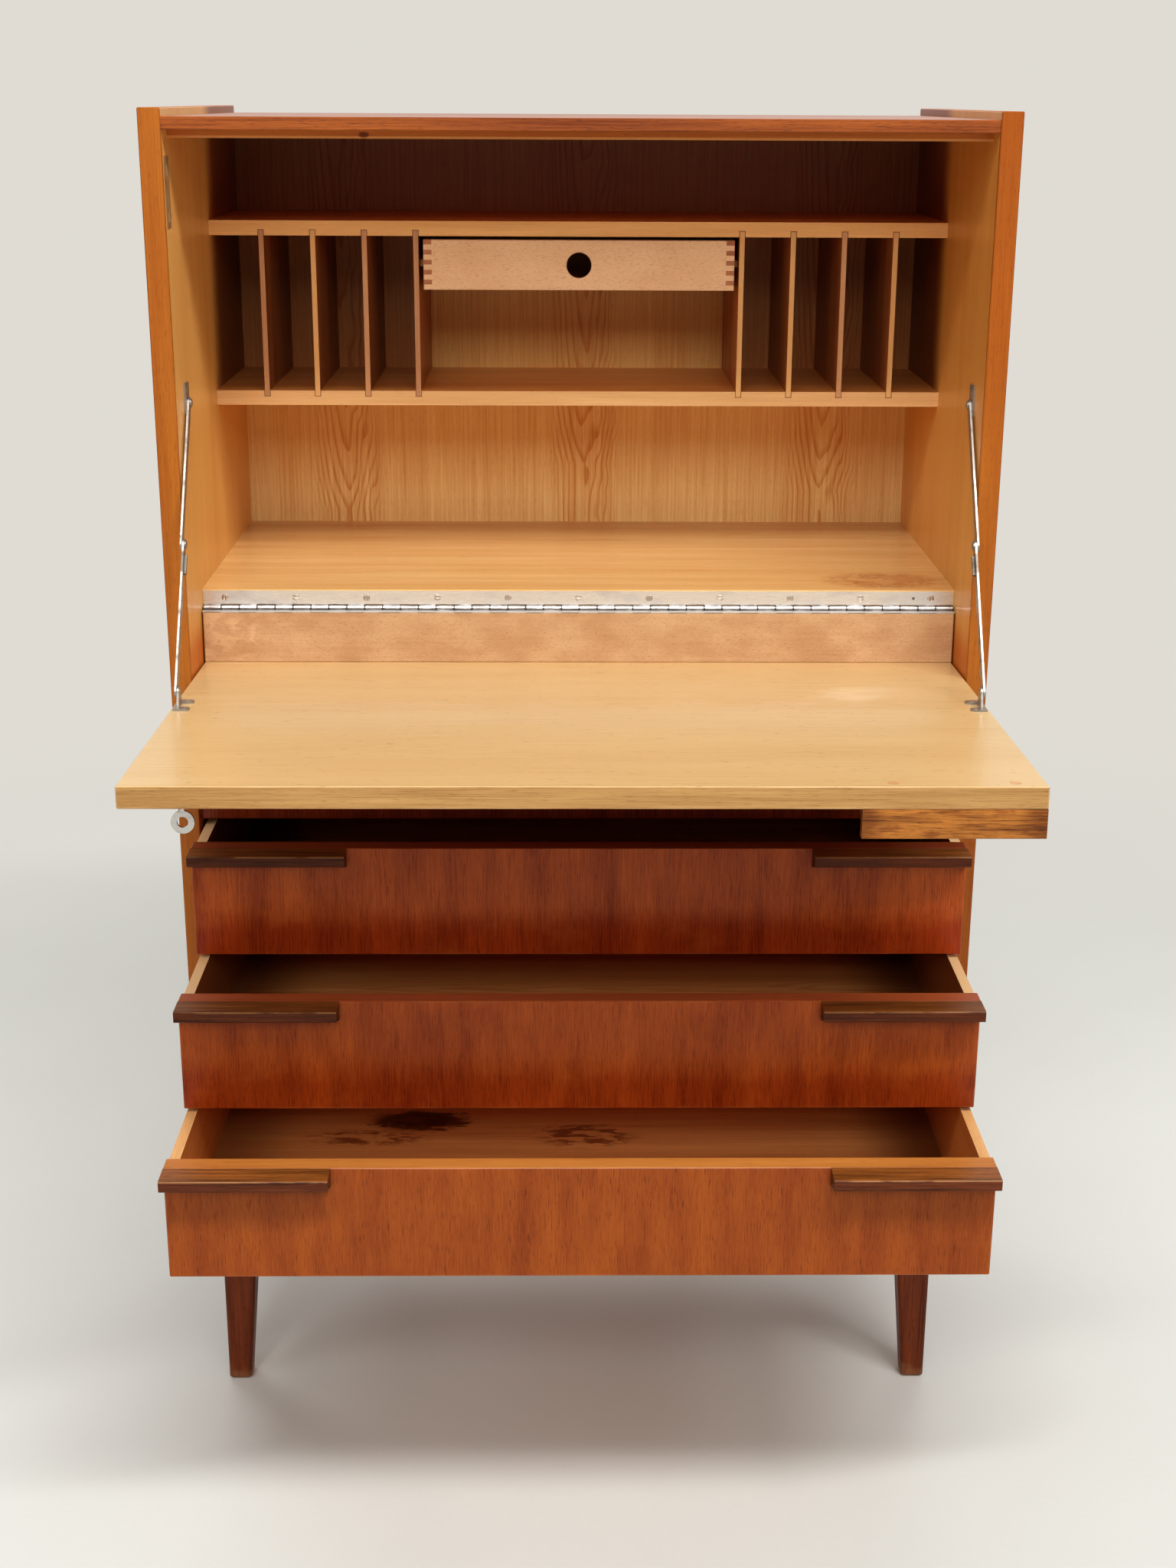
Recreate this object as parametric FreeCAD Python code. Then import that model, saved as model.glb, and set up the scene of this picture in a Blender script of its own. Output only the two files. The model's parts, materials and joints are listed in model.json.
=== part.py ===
"""Fall-front writing cabinet on tapered legs, as separate pieces, in millimetres.

The pose is the one in use: fall lowered on its folding stays, three drawers drawn out by different amounts.
X runs to the viewer's right, Y from front to back, Z up; the floor is at Z = 0.
"""
import os

import FreeCAD
import Part
from math import atan2, cos, degrees, hypot, pi, radians, sin

V = FreeCAD.Vector

# Carcass boards
WIDTH = 750.0
DEPTH = 424.0
SIDE_T = 19.0
BOARD_T = 18.0
SHELF_T = 14.0
BACK_T = 7.0
BACK_INSET = 1.0
REBATE = 8.0
DADO = 5.0
TOP_SHOULDER = 4.0
EASE = 0.8

# Heights, stacked from the floor up
LEG_H = 285.0
DRAWER_FLOOR_GAP = 3.0
DRAWER_H = 105.0
DRAWER_GAP = 1.5
DRAWER_COUNT = 3
APRON_GAP = 5.0
APRON_H = 118.0
APRON_BEVEL = 15.0
FALL_GAP = 3.0
FALL_TAIL = 66.0
FALL_REACH = 427.0
TOP_GAP = 5.0
TOP_LIP = 11.0
SIDE_RISE = 7.0

# Fall, cleat and hinge
RECESS = 11.0
FALL_T = 18.0
FALL_SIDE_GAP = 1.5
FALL_RISE = 1.9
CLEAT_H = 50.5
CLEAT_T = 18.0
CLEAT_FRONT = 9.8
KNUCKLE_R = 2.4
KNUCKLE_COUNT = 42
KNUCKLE_SIDES = 12
BORE_SIDES = 8
KNUCKLE_SPLIT = 0.3
HINGE_PIN_R = 1.0
HINGE_CLEAR = 0.4
RUN_CLEAR = 0.05
LEAF_T = 1.4
LEAF_W = 16.0
FLOOR_DROP = 1.0
STOP_CLEAR = 0.5

# Pigeonholes and their small drawer
SHELF_SETBACK = 226.0
LOWER_SPACE = 153.0
LETTER_H = 148.0
DIVIDER_T = 4.8
DIVIDER_PITCH = 49.6
DIVIDER_SLOT = 5.0
DIVIDERS_EACH_SIDE = 4
BOX_SIDE_GAP = 4.7
BOX_H = 47.0
BOX_L = 174.0
BOX_T = 8.0
BOX_DROP = 3.5
BOX_FINGERS = 5
FINGER_SHARE = 0.47
FINGER_HOLE_R = 12.0
BOX_BOTTOM_T = 3.0
BOX_GROOVE = 3.0
BOX_RUNNER_H = 6.0

# Large drawers
DRAWER_OPEN = (69.0, 171.0, 278.0)
DRAWER_L = 392.0
DRAWER_SIDE_GAP = 1.0
DRAWER_SIDE_T = 9.0
DRAWER_SIDE_INSET = 3.0
DRAWER_SIDE_DROP = 2.5
DRAWER_SIDE_LIFT = 8.0
DRAWER_BOTTOM_T = 4.0
DRAWER_BOTTOM_LIFT = 14.0
DRAWER_GROOVE = 4.0
RUNNER_H = 10.0
RUNNER_T = 8.0
RUNNER_LIFT = 50.0
RUNNER_GROOVE = 5.0
SLIDE_CLEAR = 0.3

# Lip handles
HANDLE_L = 142.0
HANDLE_OUT = 23.7
HANDLE_LIP = 10.0
HANDLE_ROOT = 17.0
PLUG_R = 4.5
PLUG_T = 4.0
PLUG_IN = 10.5
PLUG_END = 24.0
PLUG_CLEAR = 0.1

# Legs
LEG_TOP = 45.0
LEG_FOOT = 23.0
LEG_SIDE_INSET = 11.5
LEG_FRONT_INSET = 33.0
LEG_ROUND = 4.0
FOOT_BEVEL = 2.5

# Folding stays: forward from the hinge line and up from it
STAY_SIDE = (28.2, 196.0)
STAY_FALL = (180.6, -37.4)
STAY_T = 1.8
STAY_W = 10.0
STAY_PIN_R = 2.5
STAY_HEAD_R = 4.0
STAY_HEAD_T = 1.0
STAY_SPACE = 0.3
STAY_PLATE_W = 18.0
STAY_PLATE_H = 27.0
LOBE_PITCH = 26.0
LOBE_W = 9.0
LOBE_L = 14.0
LUG_FROM_PIVOT = 9.0
LUG_L = 18.0
LUG_W = 3.0

# Lock, keep and key
LOCK_L = 64.0
LOCK_DEPTH = 57.0
LOCK_T = 10.0
LOCK_WALL = 1.2
LOCK_FACE_L = 80.0
LOCK_FACE_W = 12.0
LOCK_FACE_T = 1.5
KEY_IN = 44.8
KEY_FROM_EDGE = 27.5
TONGUE_PITCH = 39.0
TONGUE_L = 10.0
TONGUE_T = 6.0
TONGUE_CLEAR = 0.4
BOLT_TRAVEL = 10.0
BOLT_BAR = 8.0
KEY_R = 2.0
KEY_BIT = 4.0
KEY_HOLE_CLEAR = 0.3
BOW_R = 9.2
BOW_HOLE_R = 4.4
BOW_T = 2.6
BOW_DROP = 18.6
KEEP_W = 22.0
KEEP_T = 1.5
KEEP_MARGIN = 11.0
MORTISE_DEPTH = 13.0

# Places that follow from the sizes above
INNER = WIDTH / 2 - SIDE_T
FALL_HALF = INNER - FALL_SIDE_GAP
HINGE_SEAT = KNUCKLE_R + HINGE_CLEAR
HINGE_SETBACK = RECESS + FALL_T + CLEAT_H
FALL_DROP = CLEAT_H + FALL_T
RISE = radians(FALL_RISE)
FALL_FORWARD = FALL_REACH * cos(RISE) + (FALL_DROP + HANDLE_OUT) * sin(RISE) - HINGE_SETBACK
Y_FRONT = (FALL_FORWARD - DEPTH) / 2
Y_FACE = Y_FRONT + RECESS
Y_HINGE = Y_FRONT + HINGE_SETBACK
Y_BACK = Y_FRONT + DEPTH - BACK_INSET - BACK_T
Y_SHELF = Y_FRONT + SHELF_SETBACK
DRAWER_PITCH = DRAWER_H + DRAWER_GAP
Z_BOTTOM = LEG_H + BOARD_T
Z_STACK = Z_BOTTOM + DRAWER_FLOOR_GAP
Z_APRON = Z_STACK + DRAWER_COUNT * DRAWER_PITCH - DRAWER_GAP + APRON_GAP
Z_HINGE = Z_APRON + APRON_H + FALL_GAP + FALL_TAIL
Z_DESK = Z_HINGE - FLOOR_DROP + BOARD_T
Z_LOWER = Z_DESK + LOWER_SPACE
Z_UPPER = Z_LOWER + SHELF_T + LETTER_H
Z_LIP = Z_HINGE + FALL_REACH + TOP_GAP
Z_TOP = Z_LIP + TOP_LIP
HEIGHT = Z_TOP + SIDE_RISE
DIVIDER_FIRST = INNER - DIVIDERS_EACH_SIDE * DIVIDER_PITCH
BOX_W = 2 * (DIVIDER_FIRST - DIVIDER_T / 2 - BOX_SIDE_GAP)
BOX_TOP = Z_UPPER - BOX_DROP
LOCK_MID = -(CLEAT_H + FALL_T / 2)
KEY_S = FALL_REACH - KEY_FROM_EDGE
KEY_X = -(FALL_HALF - KEY_IN)
TONGUE_S = (KEY_S, KEY_S - TONGUE_PITCH)
LOCK_S = KEY_S - TONGUE_PITCH / 2

# Planes of the stay pieces, measured inward from a side's inner face
PLATE_X = INNER - STAY_T
UPPER_X = PLATE_X - STAY_SPACE - STAY_T
HEAD_X = UPPER_X - STAY_SPACE / 2 - STAY_HEAD_T
LOWER_X = UPPER_X - STAY_SPACE - STAY_T
EAR_X = LOWER_X - STAY_SPACE - STAY_T


def slab(x0, x1, y0, y1, z0, z1, ease=0.0):
    """Board between two corners, with its edges eased where asked."""
    shape = Part.makeBox(x1 - x0, y1 - y0, z1 - z0, V(x0, y0, z0))
    if ease:
        shape = shape.makeChamfer(ease, shape.Edges)
    return shape


def fall_slab(x0, x1, s0, s1, h0, h1, ease=0.0):
    """Board on the level fall: s runs forward from the hinge line, h up from it."""
    return slab(x0, x1, Y_HINGE - s1, Y_HINGE - s0, Z_HINGE + h0, Z_HINGE + h1, ease)


def rod(x, y, z, radius, length, direction):
    """Round bar from a point along a direction."""
    return Part.makeCylinder(radius, length, V(x, y, z), V(*direction))


def prism_x(points, x0, x1):
    """Outline of (y, z) points pushed along X."""
    corners = [V(x0, y, z) for y, z in points]
    face = Part.Face(Part.makePolygon(corners + corners[:1]))
    return face.extrude(V(x1 - x0, 0, 0))


def mirrored(shape):
    """The same piece on the other side of the middle plane."""
    return shape.mirror(V(0, 0, 0), V(1, 0, 0))


def both(shape):
    """A piece and its mirror image as one node."""
    return Part.makeCompound([shape, mirrored(shape)])


def raised(shape):
    """A level fall piece turned up about the hinge line to where the stays hold it."""
    turned = shape.copy()
    turned.rotate(V(0, Y_HINGE, Z_HINGE), V(-1, 0, 0), FALL_RISE)
    return turned


def save(name, shape):
    """Write one node."""
    shape.exportStep("parts/" + name + ".step")


# Carcass


def dadoes():
    """Grooves that a side gives to the boards ending in it."""
    rows = (
        (Y_FACE, LEG_H, Z_BOTTOM),
        (Y_HINGE + HINGE_SEAT, Z_DESK - BOARD_T, Z_DESK),
        (Y_SHELF, Z_LOWER, Z_LOWER + SHELF_T),
        (Y_SHELF, Z_UPPER, Z_UPPER + SHELF_T),
        (Y_FACE + FALL_T + STOP_CLEAR, Z_TOP - BOARD_T, Z_TOP - TOP_SHOULDER),
    )
    return [slab(INNER, INNER + DADO, y, Y_BACK, z0, z1) for y, z0, z1 in rows]


def side():
    """Right-hand side: eased edges, grooves for the boards and a rebate for the back."""
    panel = slab(INNER, WIDTH / 2, Y_FRONT, Y_FRONT + DEPTH, LEG_H, HEIGHT, EASE)
    rebate = slab(INNER, INNER + REBATE, Y_BACK, Y_FRONT + DEPTH, LEG_H, Z_TOP)
    return panel.cut(dadoes() + [rebate])


def closed_slots(x0, x1):
    """Room for the two bolt tongues, where they stand with the fall closed."""
    y = Y_HINGE + LOCK_MID
    half_t = TONGUE_T / 2 + TONGUE_CLEAR
    half_l = TONGUE_L / 2 + TONGUE_CLEAR
    return [slab(x0, x1, y - half_t, y + half_t, Z_HINGE + s - half_l, Z_HINGE + s + half_l) for s in TONGUE_S]


def keep_plate():
    """Blank of the keep in the left side's inner face."""
    y = Y_HINGE + LOCK_MID
    low = Z_HINGE + TONGUE_S[1] - KEEP_MARGIN
    high = Z_HINGE + TONGUE_S[0] + KEEP_MARGIN
    return slab(-INNER - KEEP_T, -INNER, y - KEEP_W / 2, y + KEEP_W / 2, low, high)


def left_side():
    """Left side, with the keep's seat and its two mortises."""
    return mirrored(side()).cut([keep_plate()] + closed_slots(-INNER - MORTISE_DEPTH, -INNER))


def lock_keep():
    """Keep with two slots."""
    return keep_plate().cut(closed_slots(-INNER - MORTISE_DEPTH, -INNER + KEEP_T))


def top_panel():
    """Top between the sides: a thin front lip over the fall, a stop behind it and a tongue at each end."""
    front = Y_FRONT + 2.0
    shoulder = Y_FACE + FALL_T + STOP_CLEAR
    low = Z_TOP - BOARD_T
    outline = (
        (front, Z_LIP + EASE),
        (front + EASE, Z_LIP),
        (shoulder, Z_LIP),
        (shoulder, low),
        (Y_BACK, low),
        (Y_BACK, Z_TOP),
        (front + EASE, Z_TOP),
        (front, Z_TOP - EASE),
    )
    middle = prism_x(outline, -INNER, INNER)
    tongue = slab(INNER - DADO, INNER + DADO, shoulder, Y_BACK, low, Z_TOP - TOP_SHOULDER)
    return middle.fuse([tongue, mirrored(tongue)]).removeSplitter()


def back_panel():
    """Back board, let into the sides' rebates."""
    half = INNER + REBATE
    return slab(-half, half, Y_BACK, Y_BACK + BACK_T, LEG_H, Z_TOP)


def cross_board(y, z0, z1):
    """Board housed in both sides from a front edge to the back."""
    return slab(-INNER - DADO, INNER + DADO, y, Y_BACK, z0, z1)


def divider_places():
    """Middle planes of the dividers on the right, outermost last."""
    return [DIVIDER_FIRST + i * DIVIDER_PITCH for i in range(DIVIDERS_EACH_SIDE)]


def dividers():
    """Thin upright boards of the right-hand letter rack."""
    low = Z_LOWER + SHELF_T - DIVIDER_SLOT
    high = Z_UPPER + DIVIDER_SLOT
    half = DIVIDER_T / 2
    return [slab(x - half, x + half, Y_SHELF, Y_BACK, low, high) for x in divider_places()]


def shelf(z):
    """Shelf with an open-fronted slot for every divider."""
    right = dividers()
    return cross_board(Y_SHELF, z, z + SHELF_T).cut(right + [mirrored(d) for d in right])


def box_runners():
    """Strips on the two inner dividers that carry the small drawer."""
    wall = DIVIDER_FIRST - DIVIDER_T / 2
    z = BOX_TOP - BOX_H / 2
    inner = BOX_W / 2 - BOX_GROOVE + SLIDE_CLEAR
    return both(slab(inner, wall, Y_SHELF + 3 * BOX_T, Y_BACK, z - BOX_RUNNER_H / 2, z + BOX_RUNNER_H / 2))


def apron():
    """Fixed front board under the fall, its top edge bevelled back to let the fall's tail swing."""
    back = Y_FACE + BOARD_T
    top = Z_APRON + APRON_H
    outline = ((Y_FACE, Z_APRON), (back, Z_APRON), (back, top - APRON_BEVEL), (Y_FACE, top))
    return prism_x(outline, -INNER, INNER)


def dust_panel():
    """Thin board behind the apron, over the drawers."""
    return slab(-INNER, INNER, Y_FACE + BOARD_T, Y_BACK, Z_APRON, Z_APRON + BACK_T)


def drawer_base(n):
    """Lower edge of drawer n, counted from the top."""
    return Z_STACK + (DRAWER_COUNT - 1 - n) * DRAWER_PITCH


def drawer_runners():
    """Side battens that carry the drawers."""
    start = Y_FACE + BOARD_T + RUNNER_T
    strips = []
    for n in range(DRAWER_COUNT):
        z = drawer_base(n) + RUNNER_LIFT
        strip = slab(INNER - RUNNER_T, INNER, start, Y_BACK, z, z + RUNNER_H)
        strips += [strip, mirrored(strip)]
    return Part.makeCompound(strips)


# Legs


def leg():
    """Front right leg: outer faces upright, inner faces tapering, long edges rounded and the foot bevelled."""
    x1 = WIDTH / 2 - LEG_SIDE_INSET
    y0 = Y_FRONT + LEG_FRONT_INSET
    outline = ((y0, 0), (y0 + LEG_FOOT, 0), (y0 + LEG_TOP, LEG_H), (y0, LEG_H))
    one_way = prism_x(outline, x1 - LEG_TOP, x1)
    other_way = one_way.mirror(V(x1, y0, 0), V(1, 1, 0))
    block = one_way.common(other_way)
    long_edges = [e for e in block.Edges if e.BoundBox.ZLength > LEG_H / 2]
    block = block.makeFillet(LEG_ROUND, long_edges)
    rim = [e for e in block.Edges if e.BoundBox.ZMax < FOOT_BEVEL]
    return block.makeChamfer(FOOT_BEVEL, rim)


def to_back(shape):
    """A front corner piece carried to the same corner at the back."""
    return shape.mirror(V(0, Y_FRONT + DEPTH / 2, 0), V(0, 1, 0))


def corners(shape):
    """A front right corner piece at all four corners."""
    return [shape, mirrored(shape), to_back(shape), to_back(mirrored(shape))]


# Hinge and fall


def roll(x, length, radius, sides):
    """Faceted bar along the hinge line; the radius reaches its corners."""
    turns = [2 * pi * (i + 0.5) / sides for i in range(sides)]
    corners_yz = [(Y_HINGE + radius * sin(t), Z_HINGE + radius * cos(t)) for t in turns]
    return prism_x(corners_yz, x, x + length)


def knuckles(first, hole):
    """Every second knuckle of the long hinge, and the bore whose flats clear a round pin."""
    half = INNER - 1.0
    pitch = 2 * half / KNUCKLE_COUNT
    starts = [-half + i * pitch + KNUCKLE_SPLIT / 2 for i in range(first, KNUCKLE_COUNT, 2)]
    length = pitch - KNUCKLE_SPLIT
    barrels = [roll(x, length, KNUCKLE_R, KNUCKLE_SIDES) for x in starts]
    bore = roll(-half, 2 * half, hole / cos(pi / BORE_SIDES), BORE_SIDES)
    return starts, length, barrels, bore


def fixed_leaf():
    """Upright leaf on the desk floor's front edge."""
    half = INNER - 1.0
    y0 = Y_HINGE + HINGE_SEAT - LEAF_T
    y1 = Y_HINGE + HINGE_SEAT
    plate = slab(-half, half, y0, y1, Z_HINGE + HINGE_SEAT, Z_HINGE + LEAF_W)
    starts, length, barrels, bore = knuckles(0, HINGE_PIN_R)
    webs = [slab(x, x + length, y0, y1, Z_HINGE, Z_HINGE + HINGE_SEAT) for x in starts]
    return plate.fuse(webs + barrels).removeSplitter().cut(bore)


def fall_leaf():
    """Level leaf on the cleat's top edge."""
    half = INNER - 1.0
    h0 = -HINGE_SEAT
    h1 = LEAF_T - HINGE_SEAT
    plate = fall_slab(-half, half, HINGE_SEAT, CLEAT_FRONT, h0, h1)
    starts, length, barrels, bore = knuckles(1, HINGE_PIN_R + RUN_CLEAR)
    webs = [fall_slab(x, x + length, 0, HINGE_SEAT, h0, h1) for x in starts]
    return plate.fuse(webs + barrels).removeSplitter().cut(bore)


def hinge_pin():
    """Wire through every knuckle."""
    half = INNER - 1.0
    return rod(-half, Y_HINGE, Z_HINGE, HINGE_PIN_R, 2 * half, (1, 0, 0))


def lock_pocket():
    """Mortise for the lock in the fall's left edge."""
    x = -FALL_HALF
    h = LOCK_T / 2
    body = fall_slab(x, x + LOCK_FACE_T + LOCK_DEPTH, LOCK_S - LOCK_L / 2, LOCK_S + LOCK_L / 2, LOCK_MID - h,
                     LOCK_MID + h)
    face = fall_slab(x, x + LOCK_FACE_T, LOCK_S - LOCK_FACE_L / 2, LOCK_S + LOCK_FACE_L / 2,
                     LOCK_MID - LOCK_FACE_W / 2, LOCK_MID + LOCK_FACE_W / 2)
    return body.fuse(face).removeSplitter()


def plug_places():
    """Plugs over the handle's screws, across the fall."""
    right = FALL_HALF - PLUG_END
    return right, FALL_HALF - HANDLE_L + PLUG_END


def plug(x, radius):
    """Round plug sunk in the fall's inner face."""
    return rod(x, Y_HINGE - FALL_REACH + PLUG_IN, Z_HINGE - CLEAT_H - PLUG_T, radius, PLUG_T, (0, 0, 1))


def key_hole(radius, depth):
    """Round hole up into the fall from its outer face."""
    return rod(KEY_X, Y_HINGE - KEY_S, Z_HINGE - FALL_DROP, radius, depth, (0, 0, 1))


def fall_panel():
    """The fall: eased edges, lock mortise, keyhole and plug holes."""
    panel = fall_slab(-FALL_HALF, FALL_HALF, -FALL_TAIL, FALL_REACH, -FALL_DROP, -CLEAT_H, EASE)
    holes = [plug(x, PLUG_R + PLUG_CLEAR) for x in plug_places()]
    return panel.cut([lock_pocket(), key_hole(KEY_R + KEY_HOLE_CLEAR, FALL_T / 2)] + holes)


def fall_cleat():
    """Upright board between the hinge and the fall."""
    return fall_slab(-FALL_HALF, FALL_HALF, CLEAT_FRONT - CLEAT_T, CLEAT_FRONT, -CLEAT_H, -HINGE_SEAT, EASE)


def handle_outline(place):
    """Lip handle's section as a face; place turns (out, down) into a point."""
    lip = HANDLE_OUT
    e = EASE
    corner = [(0, 0), (lip - e, 0), (lip, e), (lip, HANDLE_LIP - e), (lip - e, HANDLE_LIP)]
    edges = [Part.makeLine(place(*a), place(*b)) for a, b in zip(corner, corner[1:])]
    low = (HANDLE_ROOT / 4, HANDLE_ROOT)
    hollow = (HANDLE_OUT * 0.45, HANDLE_LIP * 0.92)
    edges.append(Part.Arc(place(*corner[-1]), place(*hollow), place(*low)).toShape())
    edges.append(Part.makeLine(place(*low), place(0, HANDLE_ROOT)))
    edges.append(Part.makeLine(place(0, HANDLE_ROOT), place(0, 0)))
    return Part.Face(Part.Wire(edges))


def fall_handle():
    """Lip handle at the fall's free right corner, on its outer face."""
    x0 = FALL_HALF - HANDLE_L

    def place(out, down):
        return V(x0, Y_HINGE - FALL_REACH + down, Z_HINGE - FALL_DROP - out)

    return handle_outline(place).extrude(V(HANDLE_L, 0, 0))


# Lock


def tongue_slots(x0, x1):
    """Ways for the tongues through the lock's face."""
    half_l = TONGUE_L / 2 + TONGUE_CLEAR
    half_t = TONGUE_T / 2 + TONGUE_CLEAR
    return [fall_slab(x0, x1, s - half_l, s + half_l, LOCK_MID - half_t, LOCK_MID + half_t) for s in TONGUE_S]


def lock_case():
    """Hollow lock case behind a long face plate."""
    x = -FALL_HALF + LOCK_FACE_T
    w = LOCK_WALL
    room = fall_slab(x + w, x + LOCK_DEPTH - w, LOCK_S - LOCK_L / 2 + w, LOCK_S + LOCK_L / 2 - w,
                     LOCK_MID - LOCK_T / 2 + w, LOCK_MID + LOCK_T / 2 - w)
    way_in = key_hole(KEY_R + KEY_HOLE_CLEAR, FALL_T / 2)
    return lock_pocket().cut([room, way_in] + tongue_slots(-FALL_HALF, x + w))


def lock_bolt():
    """Bolt: two tongues on a bar, with a forked tail round the key."""
    x = -FALL_HALF + STOP_CLEAR
    bar_x = x + LOCK_FACE_T + LOCK_WALL + BOLT_TRAVEL + TONGUE_CLEAR
    half_l = TONGUE_L / 2
    half_t = TONGUE_T / 2
    tongues = [fall_slab(x, bar_x, s - half_l, s + half_l, LOCK_MID - half_t, LOCK_MID + half_t) for s in TONGUE_S]
    bar = fall_slab(bar_x, bar_x + BOLT_BAR, TONGUE_S[1] - half_l, TONGUE_S[0] + half_l, LOCK_MID - half_t,
                    LOCK_MID + half_t)
    prong = KEY_R + KEY_HOLE_CLEAR
    tail = fall_slab(bar_x + BOLT_BAR, KEY_X + prong, KEY_S - half_l, KEY_S + half_l, LOCK_MID - half_t,
                     LOCK_MID - TONGUE_CLEAR)
    fork = fall_slab(KEY_X - prong, KEY_X + BOLT_TRAVEL, KEY_S - prong, KEY_S + prong, LOCK_MID - half_t,
                     LOCK_MID + half_t)
    return bar.fuse(tongues + [tail]).removeSplitter().cut(fork)


def key():
    """Key: round shank with a bit in the lock and a ring bow that hangs below the fall."""
    y = Y_HINGE - KEY_S
    bow_z = Z_HINGE - FALL_DROP - BOW_DROP
    top = Z_HINGE + LOCK_MID + TONGUE_T / 2
    shank = rod(KEY_X, y, bow_z + BOW_R - 1.0, KEY_R, top - bow_z - BOW_R + 1.0, (0, 0, 1))
    bit = slab(KEY_X, KEY_X + KEY_R + KEY_BIT, y - BOW_T / 4, y + BOW_T / 4, top - TONGUE_T / 2, top)
    bow = rod(KEY_X, y - BOW_T / 2, bow_z, BOW_R, BOW_T, (0, 1, 0))
    eye = rod(KEY_X, y - BOW_T, bow_z, BOW_HOLE_R, 2 * BOW_T, (0, 1, 0))
    return bow.fuse([shank, bit]).removeSplitter().cut(eye)


# Folding stays


def at_hinge(s, h):
    """Place (y, z) of a point forward of and above the hinge line."""
    return Y_HINGE - s, Z_HINGE + h


def turned_up(s, h, angle):
    """A fall point after the fall is turned up by an angle."""
    return s * cos(angle) - h * sin(angle), s * sin(angle) + h * cos(angle)


def stay_points():
    """Side pivot, middle pivot and fall pivot in the pose in use, as (s, h)."""
    foot = turned_up(STAY_FALL[0], STAY_FALL[1], RISE)
    middle = ((STAY_SIDE[0] + foot[0]) / 2, (STAY_SIDE[1] + foot[1]) / 2)
    return STAY_SIDE, middle, foot


def laid(shape, a, b):
    """Lay a piece that starts at the origin and runs along Y on the line from point a to point b."""
    y0, z0 = at_hinge(*a)
    y1, z1 = at_hinge(*b)
    shape.rotate(V(0, 0, 0), V(1, 0, 0), degrees(atan2(z1 - z0, y1 - y0)))
    shape.translate(V(0, y0, z0))
    return shape


def link(length, x, eyes):
    """Flat bar with round ends along Y, its outer face at x + STAY_T, with an eye at each place given."""
    bar = Part.makeBox(STAY_T, length, STAY_W, V(x, 0, -STAY_W / 2))
    ends = [rod(x, y, 0, STAY_W / 2, STAY_T, (1, 0, 0)) for y in (0, length)]
    holes = [rod(x, y, 0, STAY_PIN_R + RUN_CLEAR, STAY_T, (1, 0, 0)) for y in eyes]
    return bar.fuse(ends).removeSplitter().cut(holes)


def upper_link():
    """Right upper link, between the side bracket and the middle pivot."""
    a, m, _ = stay_points()
    length = hypot(m[0] - a[0], m[1] - a[1])
    return laid(link(length, UPPER_X, (0, length)), a, m)


def lower_link():
    """Right lower link, with the middle pivot's rivet and the lug below it."""
    _, m, b = stay_points()
    length = hypot(m[0] - b[0], m[1] - b[1])
    head = rod(LOWER_X - STAY_HEAD_T, length, 0, STAY_HEAD_R, STAY_HEAD_T, (1, 0, 0))
    lug = Part.makeBox(STAY_T, LUG_L, LUG_W, V(LOWER_X - STAY_T, length - LUG_FROM_PIVOT - LUG_L, -STAY_W / 2))
    return laid(link(length, LOWER_X, (0,)).fuse([head, lug]).removeSplitter(), b, m)


def side_bracket():
    """Right plate on the side, with the upper link's pivot pin."""
    y, z = at_hinge(*STAY_SIDE)
    plate = slab(PLATE_X, INNER, y - STAY_PLATE_W / 2, y + STAY_PLATE_W / 2, z - STAY_PLATE_W / 2,
                 z + STAY_PLATE_H - STAY_PLATE_W / 2)
    pin = rod(HEAD_X, y, z, STAY_PIN_R, PLATE_X - HEAD_X, (1, 0, 0))
    head = rod(HEAD_X, y, z, STAY_HEAD_R, STAY_HEAD_T, (1, 0, 0))
    return plate.fuse([pin, head]).removeSplitter()


def lobe(s):
    """Round-ended tab of the right foot, flat on the level fall."""
    outer = LOWER_X + STAY_T
    middle = outer - LOBE_L + LOBE_W / 2
    tab = fall_slab(middle, outer, s - LOBE_W / 2, s + LOBE_W / 2, -CLEAT_H, STAY_T - CLEAT_H)
    y, z = at_hinge(s, -CLEAT_H)
    return tab.fuse(rod(middle, y, z, LOBE_W / 2, STAY_T, (0, 0, 1)))


def fall_bracket():
    """Right foot on the fall: strip with two tabs, the ear bent up between them and the lower link's pin."""
    s, h = STAY_FALL
    half = LOBE_PITCH / 2
    strip = fall_slab(EAR_X, LOWER_X + STAY_T, s - half, s + half, -CLEAT_H, STAY_T - CLEAT_H)
    y, z = at_hinge(s, h)
    wide = half - LOBE_W / 2
    foot_z = Z_HINGE - CLEAT_H
    web = prism_x(((y - wide, foot_z), (y - STAY_W / 2, z), (y + STAY_W / 2, z), (y + wide, foot_z)), EAR_X,
                  EAR_X + STAY_T)
    ear = rod(EAR_X, y, z, STAY_W / 2, STAY_T, (1, 0, 0))
    pin = rod(EAR_X, y, z, STAY_PIN_R, LOWER_X + STAY_T - EAR_X, (1, 0, 0))
    return strip.fuse([lobe(s - half), lobe(s + half), web, ear, pin]).removeSplitter()


# Large drawers


def drawer_bottom(n):
    """Thin bottom, let into the front and the sides."""
    y = Y_FACE - DRAWER_OPEN[n]
    z = drawer_base(n) + DRAWER_BOTTOM_LIFT
    half = INNER - DRAWER_SIDE_INSET - DRAWER_SIDE_T + DRAWER_GROOVE
    return slab(-half, half, y + BOARD_T - DRAWER_GROOVE, y + DRAWER_L, z, z + DRAWER_BOTTOM_T)


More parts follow.
